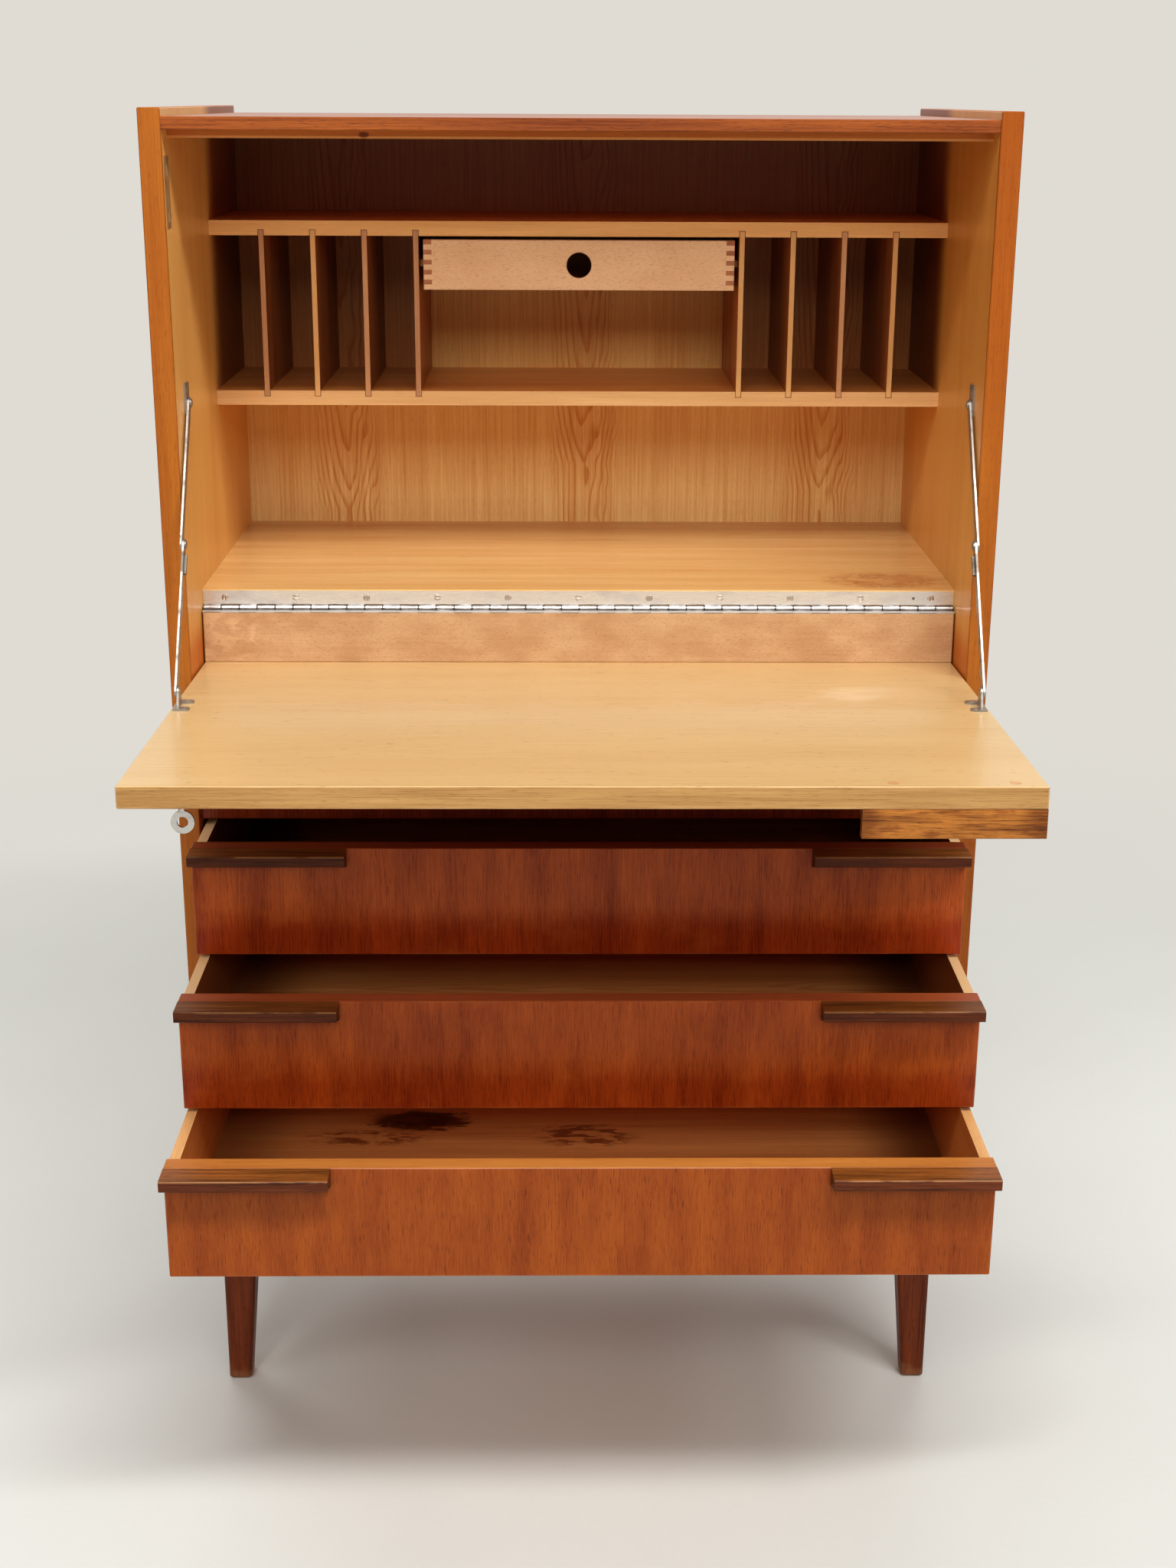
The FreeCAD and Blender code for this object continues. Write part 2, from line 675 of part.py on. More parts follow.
def drawer_front(n):
    """Drawer front with a groove for the bottom."""
    y = Y_FACE - DRAWER_OPEN[n]
    z = drawer_base(n)
    half = INNER - DRAWER_SIDE_GAP
    return slab(-half, half, y, y + BOARD_T, z, z + DRAWER_H, EASE).cut(drawer_bottom(n))


def drawer_sides(n):
    """Both sides, grooved outside for the runner and inside for the bottom."""
    y = Y_FACE - DRAWER_OPEN[n]
    z = drawer_base(n)
    outer = INNER - DRAWER_SIDE_INSET
    board = slab(outer - DRAWER_SIDE_T, outer, y + BOARD_T, y + DRAWER_L, z + DRAWER_SIDE_LIFT,
                 z + DRAWER_H - DRAWER_SIDE_DROP)
    low = z + RUNNER_LIFT - SLIDE_CLEAR
    groove = slab(outer - RUNNER_GROOVE - SLIDE_CLEAR, outer, y + BOARD_T + RUNNER_T / 2, y + DRAWER_L, low,
                  low + RUNNER_H + 2 * SLIDE_CLEAR)
    return both(board.cut([groove, drawer_bottom(n)]))


def drawer_back(n):
    """Back between the sides, standing on the bottom."""
    y = Y_FACE - DRAWER_OPEN[n] + DRAWER_L
    half = INNER - DRAWER_SIDE_INSET - DRAWER_SIDE_T
    low = drawer_base(n) + DRAWER_BOTTOM_LIFT + DRAWER_BOTTOM_T
    return slab(-half, half, y - DRAWER_SIDE_T, y, low, drawer_base(n) + DRAWER_H - 4 * DRAWER_SIDE_DROP)


def drawer_handles(n):
    """A lip handle at each upper corner of the front."""
    y = Y_FACE - DRAWER_OPEN[n]
    top = drawer_base(n) + DRAWER_H
    x0 = INNER - DRAWER_SIDE_GAP - HANDLE_L

    def place(out, down):
        return V(x0, y - out, top - down)

    return both(handle_outline(place).extrude(V(HANDLE_L, 0, 0)))


# Small drawer


def box_fingers():
    """The sides' fingers where they pass through the small drawer's front, on the right."""
    pitch = BOX_H / BOX_FINGERS
    half = BOX_W / 2
    tops = [BOX_TOP - i * pitch for i in range(BOX_FINGERS)]
    return [slab(half - BOX_T, half, Y_SHELF, Y_SHELF + BOX_T, z - FINGER_SHARE * pitch, z) for z in tops]


def box_bottom():
    """Thin bottom of the small drawer, let into its four walls."""
    half = BOX_W / 2 - BOX_T + BOX_GROOVE
    z = BOX_TOP - BOX_H + BOX_T / 2
    return slab(-half, half, Y_SHELF + BOX_T - BOX_GROOVE, Y_SHELF + BOX_L - BOX_GROOVE, z, z + BOX_BOTTOM_T)


def box_front():
    """Small drawer's front with finger joints and a finger hole."""
    half = BOX_W / 2
    board = slab(-half, half, Y_SHELF, Y_SHELF + BOX_T, BOX_TOP - BOX_H, BOX_TOP)
    hole = rod(0, Y_SHELF, BOX_TOP - BOX_H / 2, FINGER_HOLE_R, BOX_T, (0, 1, 0))
    right = box_fingers()
    return board.cut(right + [mirrored(f) for f in right] + [hole, box_bottom()])


def box_sides():
    """Small drawer's sides, fingered in front and grooved for their runners."""
    half = BOX_W / 2
    z = BOX_TOP - BOX_H / 2
    board = slab(half - BOX_T, half, Y_SHELF + BOX_T, Y_SHELF + BOX_L, BOX_TOP - BOX_H, BOX_TOP)
    reach = BOX_RUNNER_H / 2 + SLIDE_CLEAR
    groove = slab(half - BOX_GROOVE, half, Y_SHELF + 3 * BOX_T - SLIDE_CLEAR, Y_SHELF + BOX_L, z - reach, z + reach)
    return both(board.fuse(box_fingers()).removeSplitter().cut([groove, box_bottom()]))


def box_back():
    """Small drawer's back, between its sides."""
    half = BOX_W / 2 - BOX_T
    back = slab(-half, half, Y_SHELF + BOX_L - BOX_T, Y_SHELF + BOX_L, BOX_TOP - BOX_H, BOX_TOP - BOX_T / 2)
    return back.cut(box_bottom())


def build_carcass():
    """Write the fixed pieces."""
    save("left_side", left_side())
    save("right_side", side())
    save("top_panel", top_panel())
    save("back_panel", back_panel())
    save("desk_floor", cross_board(Y_HINGE + HINGE_SEAT, Z_DESK - BOARD_T, Z_DESK))
    save("lower_shelf", shelf(Z_LOWER))
    save("upper_shelf", shelf(Z_UPPER))
    save("letter_dividers_right", Part.makeCompound(dividers()))
    save("letter_dividers_left", mirrored(Part.makeCompound(dividers())))
    save("small_drawer_runners", box_runners())
    save("front_apron", apron())
    save("dust_panel", dust_panel())
    save("bottom_board", cross_board(Y_FACE, LEG_H, Z_BOTTOM))
    save("drawer_runners", drawer_runners())
    save("lock_keep", lock_keep())
    save("stay_side_brackets", both(side_bracket()))
    save("hinge_fixed_leaf", fixed_leaf())
    save("hinge_pin", hinge_pin())
    names = ("leg_front_right", "leg_front_left", "leg_rear_right", "leg_rear_left")
    for name, shape in zip(names, corners(leg())):
        save(name, shape)


def build_fall():
    """Write the fall, its lock and its stays."""
    save("fall_panel", raised(fall_panel()))
    save("fall_cleat", raised(fall_cleat()))
    save("hinge_fall_leaf", raised(fall_leaf()))
    save("fall_handle", raised(fall_handle()))
    save("fall_handle_plugs", raised(Part.makeCompound([plug(x, PLUG_R) for x in plug_places()])))
    save("lock_case", raised(lock_case()))
    save("lock_bolt", raised(lock_bolt()))
    save("key", raised(key()))
    save("stay_fall_brackets", raised(both(fall_bracket())))
    save("stay_upper_link_right", upper_link())
    save("stay_upper_link_left", mirrored(upper_link()))
    save("stay_lower_link_right", lower_link())
    save("stay_lower_link_left", mirrored(lower_link()))


def build_drawers():
    """Write the large drawers, top one first, and the small drawer."""
    for n in range(DRAWER_COUNT):
        stem = "drawer_" + str(n + 1)
        save(stem + "_front", drawer_front(n))
        save(stem + "_sides", drawer_sides(n))
        save(stem + "_back", drawer_back(n))
        save(stem + "_bottom", drawer_bottom(n))
        save(stem + "_handles", drawer_handles(n))
    save("small_drawer_front", box_front())
    save("small_drawer_sides", box_sides())
    save("small_drawer_back", box_back())
    save("small_drawer_bottom", box_bottom())


def report_places():
    """Print the joint places that the record states."""
    a, m, b = stay_points()
    key_s, key_h = turned_up(KEY_S, -FALL_DROP, RISE)
    print("Y_FRONT", Y_FRONT, "HEIGHT", HEIGHT, "Z_DESK", Z_DESK)
    print("hinge", Y_HINGE, Z_HINGE)
    for name, point in (("side pivot", a), ("middle pivot", m), ("fall pivot", b), ("key", (key_s, key_h))):
        print(name, *at_hinge(*point))


os.makedirs("parts", exist_ok=True)
build_carcass()
build_fall()
build_drawers()
report_places()
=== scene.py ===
"""Fall-front writing cabinet: finishes, small fittings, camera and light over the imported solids.

Everything is in metres in the cabinet's own frame: X to the viewer's right, Y from front to back, Z up.
"""

import json
import logging
import math
from dataclasses import dataclass
from enum import Enum
from typing import Any, Dict, List, Mapping, Sequence, Tuple, Union

import bpy
import numpy as np
from mathutils import Matrix, Vector

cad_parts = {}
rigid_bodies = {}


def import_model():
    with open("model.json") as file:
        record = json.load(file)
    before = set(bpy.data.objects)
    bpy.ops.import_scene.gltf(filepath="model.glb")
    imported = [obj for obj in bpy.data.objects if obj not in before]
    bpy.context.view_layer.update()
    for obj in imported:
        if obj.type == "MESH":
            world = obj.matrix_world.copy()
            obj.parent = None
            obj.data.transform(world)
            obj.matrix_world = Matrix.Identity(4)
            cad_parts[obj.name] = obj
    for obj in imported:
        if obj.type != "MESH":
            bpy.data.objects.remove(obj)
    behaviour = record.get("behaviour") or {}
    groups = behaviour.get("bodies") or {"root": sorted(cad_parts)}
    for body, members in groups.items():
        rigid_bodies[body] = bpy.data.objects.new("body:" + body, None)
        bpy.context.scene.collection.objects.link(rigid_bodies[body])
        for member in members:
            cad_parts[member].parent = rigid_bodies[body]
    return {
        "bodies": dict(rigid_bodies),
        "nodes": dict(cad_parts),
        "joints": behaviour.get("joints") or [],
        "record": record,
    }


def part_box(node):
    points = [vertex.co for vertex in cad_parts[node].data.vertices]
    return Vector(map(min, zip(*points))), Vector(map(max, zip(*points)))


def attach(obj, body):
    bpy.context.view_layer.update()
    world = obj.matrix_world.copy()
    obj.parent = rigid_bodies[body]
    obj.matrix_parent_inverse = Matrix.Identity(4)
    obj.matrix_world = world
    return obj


LOG = logging.getLogger("cabinet")
MM = 0.001

# A pattern's seed moves it by these steps on X, Y and Z, from these starts.
SEED_STEP = (7.31, 3.77, 5.13)
SEED_START = (0.0, 11.0, -4.0)
# Noise keeps near its middle, so it is spread by this much about 0.5.
NOISE_SPREAD = 1.8

Colour = Tuple[float, float, float, float]
Triple = Tuple[float, float, float]
Span = Tuple[float, float]
Solid = Tuple[np.ndarray, List[List[int]]]
Socket = bpy.types.NodeSocket


class Axis(Enum):
    """Direction in the cabinet's frame."""

    X = 0
    Y = 1
    Z = 2

    def drawn_out(self, width: float, length: float) -> Triple:
        """Size of a cloud that is long on this axis and narrow across it.

        Args:
            width: size across the axis.
            length: size on the axis.

        Returns:
            The sizes on X, Y and Z.
        """
        sizes = [width, width, width]
        sizes[self.value] = length
        return (sizes[0], sizes[1], sizes[2])


class Side(Enum):
    """A side of the cabinet, with its sign along X."""

    LEFT = -1.0
    RIGHT = 1.0

    @property
    def word(self) -> str:
        """The side as the names of nodes and joints say it."""
        return self.name.lower()


class Blend(Enum):
    """How a colour meets the one below: laid over it, or multiplied in."""

    COVER = "MIX"
    DARKEN = "MULTIPLY"


def tone(red: int, green: int, blue: int) -> Colour:
    """Linear colour of a display colour.

    Args:
        red: display red, 0 to 255.
        green: display green, 0 to 255.
        blue: display blue, 0 to 255.

    Returns:
        The colour as a shader socket takes it.
    """
    display = np.array([red, green, blue]) / 255.0
    linear = np.where(display <= 0.04045, display / 12.92, ((display + 0.055) / 1.055) ** 2.4)
    return (float(linear[0]), float(linear[1]), float(linear[2]), 1.0)


class Value:
    """A number that changes over a surface; arithmetic on it adds Math nodes."""

    def __init__(self, tree: "Tree", socket: Socket) -> None:
        """Keep the tree and the socket that gives the number."""
        self.tree = tree
        self.socket = socket

    def __add__(self, other: "Number") -> "Value":
        """Sum."""
        return self.tree.math("ADD", self, other)

    def __radd__(self, other: "Number") -> "Value":
        """Sum with a plain number first."""
        return self.tree.math("ADD", other, self)

    def __sub__(self, other: "Number") -> "Value":
        """Difference."""
        return self.tree.math("SUBTRACT", self, other)

    def __rsub__(self, other: "Number") -> "Value":
        """Difference from a plain number."""
        return self.tree.math("SUBTRACT", other, self)

    def __mul__(self, other: "Number") -> "Value":
        """Product."""
        return self.tree.math("MULTIPLY", self, other)

    def __rmul__(self, other: "Number") -> "Value":
        """Product with a plain number first."""
        return self.tree.math("MULTIPLY", other, self)

    def __truediv__(self, other: "Number") -> "Value":
        """Quotient."""
        return self.tree.math("DIVIDE", self, other)

    def __rtruediv__(self, other: "Number") -> "Value":
        """Quotient of a plain number."""
        return self.tree.math("DIVIDE", other, self)

    def __abs__(self) -> "Value":
        """Size without sign."""
        return self.tree.math("ABSOLUTE", self)

    def least(self, other: "Number") -> "Value":
        """The smaller of two."""
        return self.tree.math("MINIMUM", self, other)

    def most(self, other: "Number") -> "Value":
        """The larger of two."""
        return self.tree.math("MAXIMUM", self, other)

    def part(self) -> "Value":
        """What is left above the whole number."""
        return self.tree.math("FRACT", self)

    def whole(self) -> "Value":
        """The whole number at or below."""
        return self.tree.math("FLOOR", self)

    def root(self) -> "Value":
        """Square root."""
        return self.tree.math("SQRT", self)

    def rise(self, low: float, high: float) -> "Value":
        """Smooth step that falls instead of rising when high is the lower.

        Args:
            low: where the step is 0.
            high: where the step is 1.

        Returns:
            The step, 0 to 1.
        """
        if low > high:
            return 1.0 - self.rise(high, low)
        node = self.tree.node(
            "ShaderNodeMapRange",
            {"interpolation_type": "SMOOTHSTEP"},
            {"Value": self, "From Min": low, "From Max": high},
        )
        return Value(self.tree, node.outputs["Result"])

    def near(self, middle: float, end: float = 0.4 * MM, full: float = 0.2 * MM) -> "Value":
        """1 within a distance full of a place, such as a face of the piece, and 0 from a distance end on."""
        return abs(self - middle).rise(end, full)


Number = Union[float, Value]
Paint = Union[Colour, Socket]


@dataclass
class Layer:
    """What a finish shows at a point.

    Args:
        colour: base colour.
        rough: roughness, 0 to 1.
        height: relief, 0 to 1, for the bump.
    """

    colour: Paint
    rough: Number
    height: Number


@dataclass(frozen=True)
class Stain:
    """A colour worked into a finish.

    Args:
        colour: its tone.
        share: how strongly it shows.
        blend: whether it is multiplied in or covers.
    """

    colour: Colour
    share: float = 1.0
    blend: Blend = Blend.DARKEN


class Tree:
    """A shader's nodes."""

    def __init__(self, owner: Any) -> None:
        """Empty the node tree of a material or a world.

        Args:
            owner: the material or world.
        """
        owner.use_nodes = True
        self.owner = owner
        self.nodes = owner.node_tree.nodes
        self.links = owner.node_tree.links
        self.nodes.clear()

    def node(self, kind: str, settings: Mapping[str, Any], sockets: Mapping[Any, Any]) -> bpy.types.Node:
        """Add a node.

        Args:
            kind: Blender's type name.
            settings: properties, set first.
            sockets: input name or number, with a number, a colour, a Value or a socket.

        Returns:
            The new node.
        """
        made = self.nodes.new(kind)
        for key, value in settings.items():
            setattr(made, key, value)
        for key, value in sockets.items():
            source = value.socket if isinstance(value, Value) else value
            if isinstance(source, Socket):
                self.links.new(source, made.inputs[key])
            else:
                made.inputs[key].default_value = source
        return made

    def math(self, operation: str, *terms: Number) -> Value:
        """Add a Math node on one or two numbers."""
        node = self.node("ShaderNodeMath", {"operation": operation}, dict(enumerate(terms)))
        return Value(self, node.outputs[0])

    def mix(self, share: Number, first: Paint, second: Paint, blend: Blend = Blend.COVER) -> Socket:
        """Mix two colours, share 0 giving the first; inputs 6 and 7 and output 2 are the node's colours."""
        settings = {"data_type": "RGBA", "blend_type": blend.value, "clamp_factor": True}
        return self.node("ShaderNodeMix", settings, {0: share, 6: first, 7: second}).outputs[2]

    def noise(self, place: "Place", pitch: Triple, seed: float, detail: float = 2.0) -> Value:
        """Cloudy number about 0.5 that swings over its full range.

        Args:
            place: where the point lies.
            pitch: size of a cloud along X, Y and Z.
            seed: picks another pattern.
            detail: how many finer layers are added.

        Returns:
            The number, mostly between 0 and 1.
        """
        scale = tuple(1.0 / p for p in pitch)
        shift = tuple(seed * step + start for step, start in zip(SEED_STEP, SEED_START))
        sockets = {0: place.vector, 1: scale, 2: shift}
        moved = self.node("ShaderNodeVectorMath", {"operation": "MULTIPLY_ADD"}, sockets)
        sockets = {"Vector": moved.outputs[0], "Scale": 1.0, "Detail": detail, "Roughness": 0.55}
        cloud = Value(self, self.node("ShaderNodeTexNoise", {}, sockets).outputs[0])
        return (cloud - 0.5) * NOISE_SPREAD + 0.5

    def over(self, under: Layer, top: Layer, mask: Number) -> Layer:
        """Lay one finish over another.

        Args:
            under: the finish below.
            top: the finish above.
            mask: 1 where the upper one shows.

        Returns:
            Both finishes.
        """
        rough = under.rough + (top.rough - under.rough) * mask
        height = under.height + (top.height - under.height) * mask
        return Layer(self.mix(mask, under.colour, top.colour), rough, height)

    def stain(self, layer: Layer, mask: Value, stain: Stain) -> Layer:
        """Work a stain into a finish where the mask is 1."""
        colour = self.mix(mask * stain.share, layer.colour, stain.colour, stain.blend)
        return Layer(colour, layer.rough, layer.height)

    def close(
        self,
        layer: Layer,
        metallic: float = 0.0,
        coat: float = 0.0,
        relief: float = 0.15 * MM,
        gloss: float = 0.14,
        haze: float = 0.22,
    ) -> Any:
        """Finish the material with a surface shader.

        Args:
            layer: what the surface shows.
            metallic: 1 for metal.
            coat: share of clear lacquer.
            relief: depth of the bump.
            gloss: level of the plain reflection, 0.5 for bare plastic or glass.
            haze: roughness of the clear lacquer.

        Returns:
            The material.
        """
        bump = self.node("ShaderNodeBump", {}, {"Strength": 0.5, "Distance": relief, "Height": layer.height})
        sockets = {
            "Base Color": layer.colour,
            "Roughness": layer.rough,
            "Metallic": metallic,
            "Coat Weight": coat,
            "Coat Roughness": haze,
            "Specular IOR Level": gloss,
            "Normal": bump.outputs[0],
        }
        surface = self.node("ShaderNodeBsdfPrincipled", {}, sockets)
        self.node("ShaderNodeOutputMaterial", {}, {"Surface": surface.outputs[0]})
        return self.owner


def material_tree(name: str) -> Tree:
    """Start a new material."""
    return Tree(bpy.data.materials.new(name))


class Place:
    """Where a shading point lies on its piece, in metres, with any tilt of the piece taken out."""

    def __init__(self, tree: Tree, tilt: float = 0.0, about: Triple = (0.0, 0.0, 0.0)) -> None:
        """Read the piece's own coordinates.

        Args:
            tree: the material's nodes.
            tilt: angle about X that lays the piece level.
            about: point that the tilt turns about.
        """
        vector = tree.node("ShaderNodeTexCoord", {}, {}).outputs["Object"]
        if tilt:
            turned = Matrix.Rotation(tilt, 3, "X") @ Vector(about)
            shift = tuple(Vector(about) - turned)
            sockets = {"Vector": vector, "Location": shift, "Rotation": (tilt, 0.0, 0.0)}
            vector = tree.node("ShaderNodeMapping", {}, sockets).outputs[0]
        self.vector = vector
        split = tree.node("ShaderNodeSeparateXYZ", {}, {0: vector})
        self.x, self.y, self.z = (Value(tree, socket) for socket in split.outputs)

    def on(self, axis: Axis) -> Value:
        """Coordinate along an axis."""
        return (self.x, self.y, self.z)[axis.value]

    def patch(self, centre: Triple, reach: Triple) -> Value:
        """Distance from a centre in reaches: the root of the sum of ((v - c) / r)^2.

        Args:
            centre: middle of an ellipsoid.
            reach: its half lengths.

        Returns:
            The distance, 1 on the ellipsoid.
        """
        parts = [(v - c) / r for v, c, r in zip((self.x, self.y, self.z), centre, reach)]
        squares = [p * p for p in parts]
        return (squares[0] + squares[1] + squares[2]).root()

    def edge(self, low: Sequence[float], high: Sequence[float]) -> Value:
        """Distance to the nearest edge of a box: the second smallest distance to its faces.

        Args:
            low: lowest corner of the box.
            high: highest corner of the box.

        Returns:
            The distance.
        """
        gaps = []
        for value, start, end in zip((self.x, self.y, self.z), low, high):
            gaps.append((value - start).least(end - value))
        first, second, third = gaps
        return first.least(second).most(first.most(second).least(third))


@dataclass(frozen=True)
class Wood:
    """A timber whose two tones are mixed by bands, streaks, rings and pores that run with the grain.

    Args:
        dark: tone of the dense streaks.
        light: tone of the open streaks.
        along: direction of the grain.
        across: direction over the face, square to the grain.
        band: width of the slow bands.
        bands: how strongly the bands show.
        flow: length of a band in its own widths.
        streak: width of the fine streaks.
        streaks: how strongly the streaks show.
        stretch: length of a streak in its own widths.
        leaf: width of one veneer leaf, which shows one figure of rings.
        rings: how strongly the rings show, 0 for plain timber.
        tip: place of a figure's first tip along the grain.
        arch: half the distance from the first tip to the second.
        spread: half width of the first arch where the second tip lies.
        pores: how dark the pores are.
        rough: roughness of the finish.
        seed: picks another piece of the same timber.
    """

    dark: Colour
    light: Colour
    along: Axis = Axis.X
    across: Axis = Axis.Y
    band: float = 0.03
    bands: float = 0.5
    flow: float = 18.0
    streak: float = 0.0016
    streaks: float = 0.35
    stretch: float = 70.0
    leaf: float = 0.2
    rings: float = 0.0
    tip: float = 0.0
    arch: float = 0.012
    spread: float = 0.009
    pores: float = 0.25
    rough: float = 0.42
    seed: float = 0.0

    def ring_lines(self, tree: Tree, place: Place) -> Value:
        """Dark late wood of flat-sawn rings.

        A ring's number is (|u| / spread)^1.5 + 0.5 - sqrt(s / arch + 0.25), with u across one leaf from its
        middle, s = v^2 / (v + 2 arch) and v along the grain from the first tip, 0 before it. Equal numbers
        draw nested pointed arches whose tips lie farther and farther apart, and which crowd outwards into
        straight lines, where they fade. Each leaf has its tip up to 40 mm higher or lower, and its middle
        line sways.

        Args:
            tree: the material's nodes.
            place: where the point lies.

        Returns:
            1 on the late wood, 0 between.
        """
        count = place.on(self.across) / self.leaf + self.seed
        along = place.on(self.along) - self.tip + ((count.whole() * 0.37).part() - 0.5) * 0.08
        sway = tree.noise(place, self.along.drawn_out(0.03, 0.11), self.seed + 2.0, 2.0) - 0.5
        off = abs((count.part() - 0.5) * self.leaf + sway * 0.012)
        reach = off / self.spread
        past = along.most(0.0)
        tips = (past * past / (past + 2.0 * self.arch) / self.arch + 0.25).root() - 0.5
        turn = (reach * reach.root() - tips + sway * 1.3).part()
        late = turn.rise(0.45, 0.9) * turn.rise(1.0, 0.94)
        return late * off.rise(self.leaf * 0.17, self.leaf * 0.09)

    def layer(self, tree: Tree, place: Place) -> Layer:
        """Paint the timber.

        Args:
            tree: the material's nodes.
            place: where the point lies.

        Returns:
            Colour, roughness and relief.
        """
        wide = self.along.drawn_out(self.band, self.band * self.flow)
        fine = self.along.drawn_out(self.streak, self.streak * self.stretch)
        bands = tree.noise(place, wide, self.seed, 3.0) - 0.5
        streaks = tree.noise(place, fine, self.seed + 1.0, 3.0) - 0.5
        share = 0.5 + bands * self.bands * 1.6 + streaks * self.streaks * 1.6
        if self.rings:
            share = share - (self.ring_lines(tree, place) - 0.2) * self.rings
        colour = tree.mix(share, self.dark, self.light)
        pore = self.along.drawn_out(0.6 * MM, 11.0 * MM)
        dots = tree.noise(place, pore, self.seed + 3.0, 1.0).rise(0.68, 0.88)
        pored = tree.mix(dots * self.pores, colour, self.dark, Blend.DARKEN)
        rough = self.rough + streaks * 0.10 + dots * 0.08
        return Layer(pored, rough, 0.5 + streaks * 0.5 - dots * 0.5)


@dataclass(frozen=True)
class Beech:
    """Steamed beech or maple: a calm ground with short dark flecks and soft clouds.

    Args:
        ground: main tone.
        cloud: tone of the clouds.
        fleck: tone of the flecks.
        along: direction of the grain.
        flecks: how strongly the flecks show.
        length: length of a fleck.
        slim: width of a fleck in its own lengths.
        rough: roughness of the finish.
        seed: picks another piece.
    """

    ground: Colour
    cloud: Colour
    fleck: Colour
    along: Axis = Axis.X
    flecks: float = 0.5
    length: float = 0.004
    slim: float = 0.22
    rough: float = 0.45
    seed: float = 0.0

    def layer(self, tree: Tree, place: Place) -> Layer:
        """Paint the timber.

        Args:
            tree: the material's nodes.
            place: where the point lies.

        Returns:
            Colour, roughness and relief.
        """
        dash = self.along.drawn_out(self.length * self.slim, self.length)
        clouds = tree.noise(place, (0.05, 0.03, 0.03), self.seed, 3.0)
        grain = tree.noise(place, self.along.drawn_out(0.002, 0.12), self.seed + 1.0, 2.0)
        dashes = tree.noise(place, dash, self.seed + 2.0, 1.0).rise(0.62, 0.86)
        colour = tree.mix(clouds.rise(0.15, 0.85) * 0.7 + grain * 0.3, self.cloud, self.ground)
        flecked = tree.mix(dashes * self.flecks, colour, self.fleck)
        rough = self.rough + (clouds - 0.5) * 0.08 + dashes * 0.05
        return Layer(flecked, rough, 0.5 + grain * 0.3 - dashes * 0.2)


@dataclass(frozen=True)
class Metal:
    """Bright plated metal with fine brushing, dull patches and grime.

    Args:
        bright: polished tone.
        dull: worn tone.
        along: direction of the brushing.
        rough: roughness of the polish.
        seed: picks another piece.
    """

    bright: Colour
    dull: Colour
    along: Axis = Axis.X
    rough: float = 0.24
    seed: float = 0.0

    def layer(self, tree: Tree, place: Place) -> Layer:
        """Paint the metal.

        Args:
            tree: the material's nodes.
            place: where the point lies.

        Returns:
            Colour, roughness and relief.
        """
        lines = tree.noise(place, self.along.drawn_out(0.4 * MM, 30.0 * MM), self.seed, 2.0)
        clouds = tree.noise(place, (0.03, 0.012, 0.012), self.seed + 1.0, 3.0)
        worn = (clouds.rise(0.45, 0.95) * 0.7 + lines * 0.3).least(1.0)
        rough = self.rough + worn * 0.22 + (lines - 0.5) * 0.08
        return Layer(tree.mix(worn, self.bright, self.dull), rough, lines)


def plain(name: str, stuff: Union[Wood, Beech, Metal], **look: float) -> Any:
    """Material of one timber or metal all over, with the look that Tree.close takes."""
    tree = material_tree(name)
    return tree.close(stuff.layer(tree, Place(tree)), **look)


SIDE_EDGE = Wood(tone(144, 71, 16), tone(177, 103, 32), Axis.Z, Axis.X, streak=0.0012, streaks=0.4, pores=0.4)
SIDE_FACE = Wood(tone(112, 50, 20), tone(168, 88, 40), Axis.Z, Axis.Y, leaf=0.14, tip=0.5, rings=0.35,
                 pores=0.4, seed=3.0)
SIDE_LINING = Wood(tone(210, 146, 70), tone(238, 186, 106), Axis.Z, Axis.Y, streak=0.001, streaks=0.25,
                   bands=0.35, pores=0.15, seed=5.0, rough=0.36)
SIDE_LOWER = Wood(tone(180, 91, 24), tone(216, 126, 39), Axis.Z, Axis.Y, streak=0.0012, seed=6.0, rough=0.38)
TOP_LIP = Wood(tone(102, 43, 14), tone(166, 87, 34), Axis.X, Axis.Z, band=0.012, streak=0.0009, streaks=0.5,
               pores=0.5, seed=7.0, rough=0.34)
TOP_FACE = Wood(tone(108, 50, 24), tone(160, 84, 42), Axis.X, Axis.Y, leaf=0.15, tip=-0.1, rings=0.3,
                seed=8.0, rough=0.32)
TOP_UNDER = Wood(tone(170, 86, 27), tone(208, 120, 44), Axis.X, Axis.Z, streak=0.0012, seed=9.0)
LINING = Wood(tone(216, 146, 72), tone(255, 224, 150), Axis.Z, Axis.X, band=0.02, bands=0.2, streak=0.0017,
              streaks=0.42, stretch=60.0, leaf=0.258, tip=0.855, arch=0.009, rings=0.5, spread=0.012,
              pores=0.4, seed=0.469, rough=0.4)
DESK = Wood(tone(207, 154, 85), tone(236, 199, 135), Axis.X, Axis.Y, band=0.022, bands=0.5, streak=0.0016,
            streaks=0.18, pores=0.12, seed=10.0, rough=0.3)
SHELF_FACE = Wood(tone(200, 116, 49), tone(244, 172, 92), Axis.X, Axis.Y, seed=11.0, rough=0.34)
SHELF_EDGE = Wood(tone(214, 160, 101), tone(238, 192, 134), Axis.X, Axis.Z, band=0.01, bands=0.4,
                  streak=0.001, pores=0.2, seed=12.0)
# Painted light: a lighter copy of the shelf edge timber for the upper shelf, whose edge the top's lip shades.
UPPER_EDGE_PAINTED_LIGHT = Wood(tone(230, 168, 98), tone(254, 202, 130), Axis.X, Axis.Z, band=0.01, bands=0.4, streak=0.001,
                  pores=0.2, seed=39.0)
DIVIDER_FACE = Wood(tone(128, 66, 30), tone(190, 114, 60), Axis.Z, Axis.Y, seed=13.0)
DIVIDER_PALE = Wood(tone(214, 158, 96), tone(236, 186, 122), Axis.Z, Axis.X, streak=0.0008, seed=14.0)
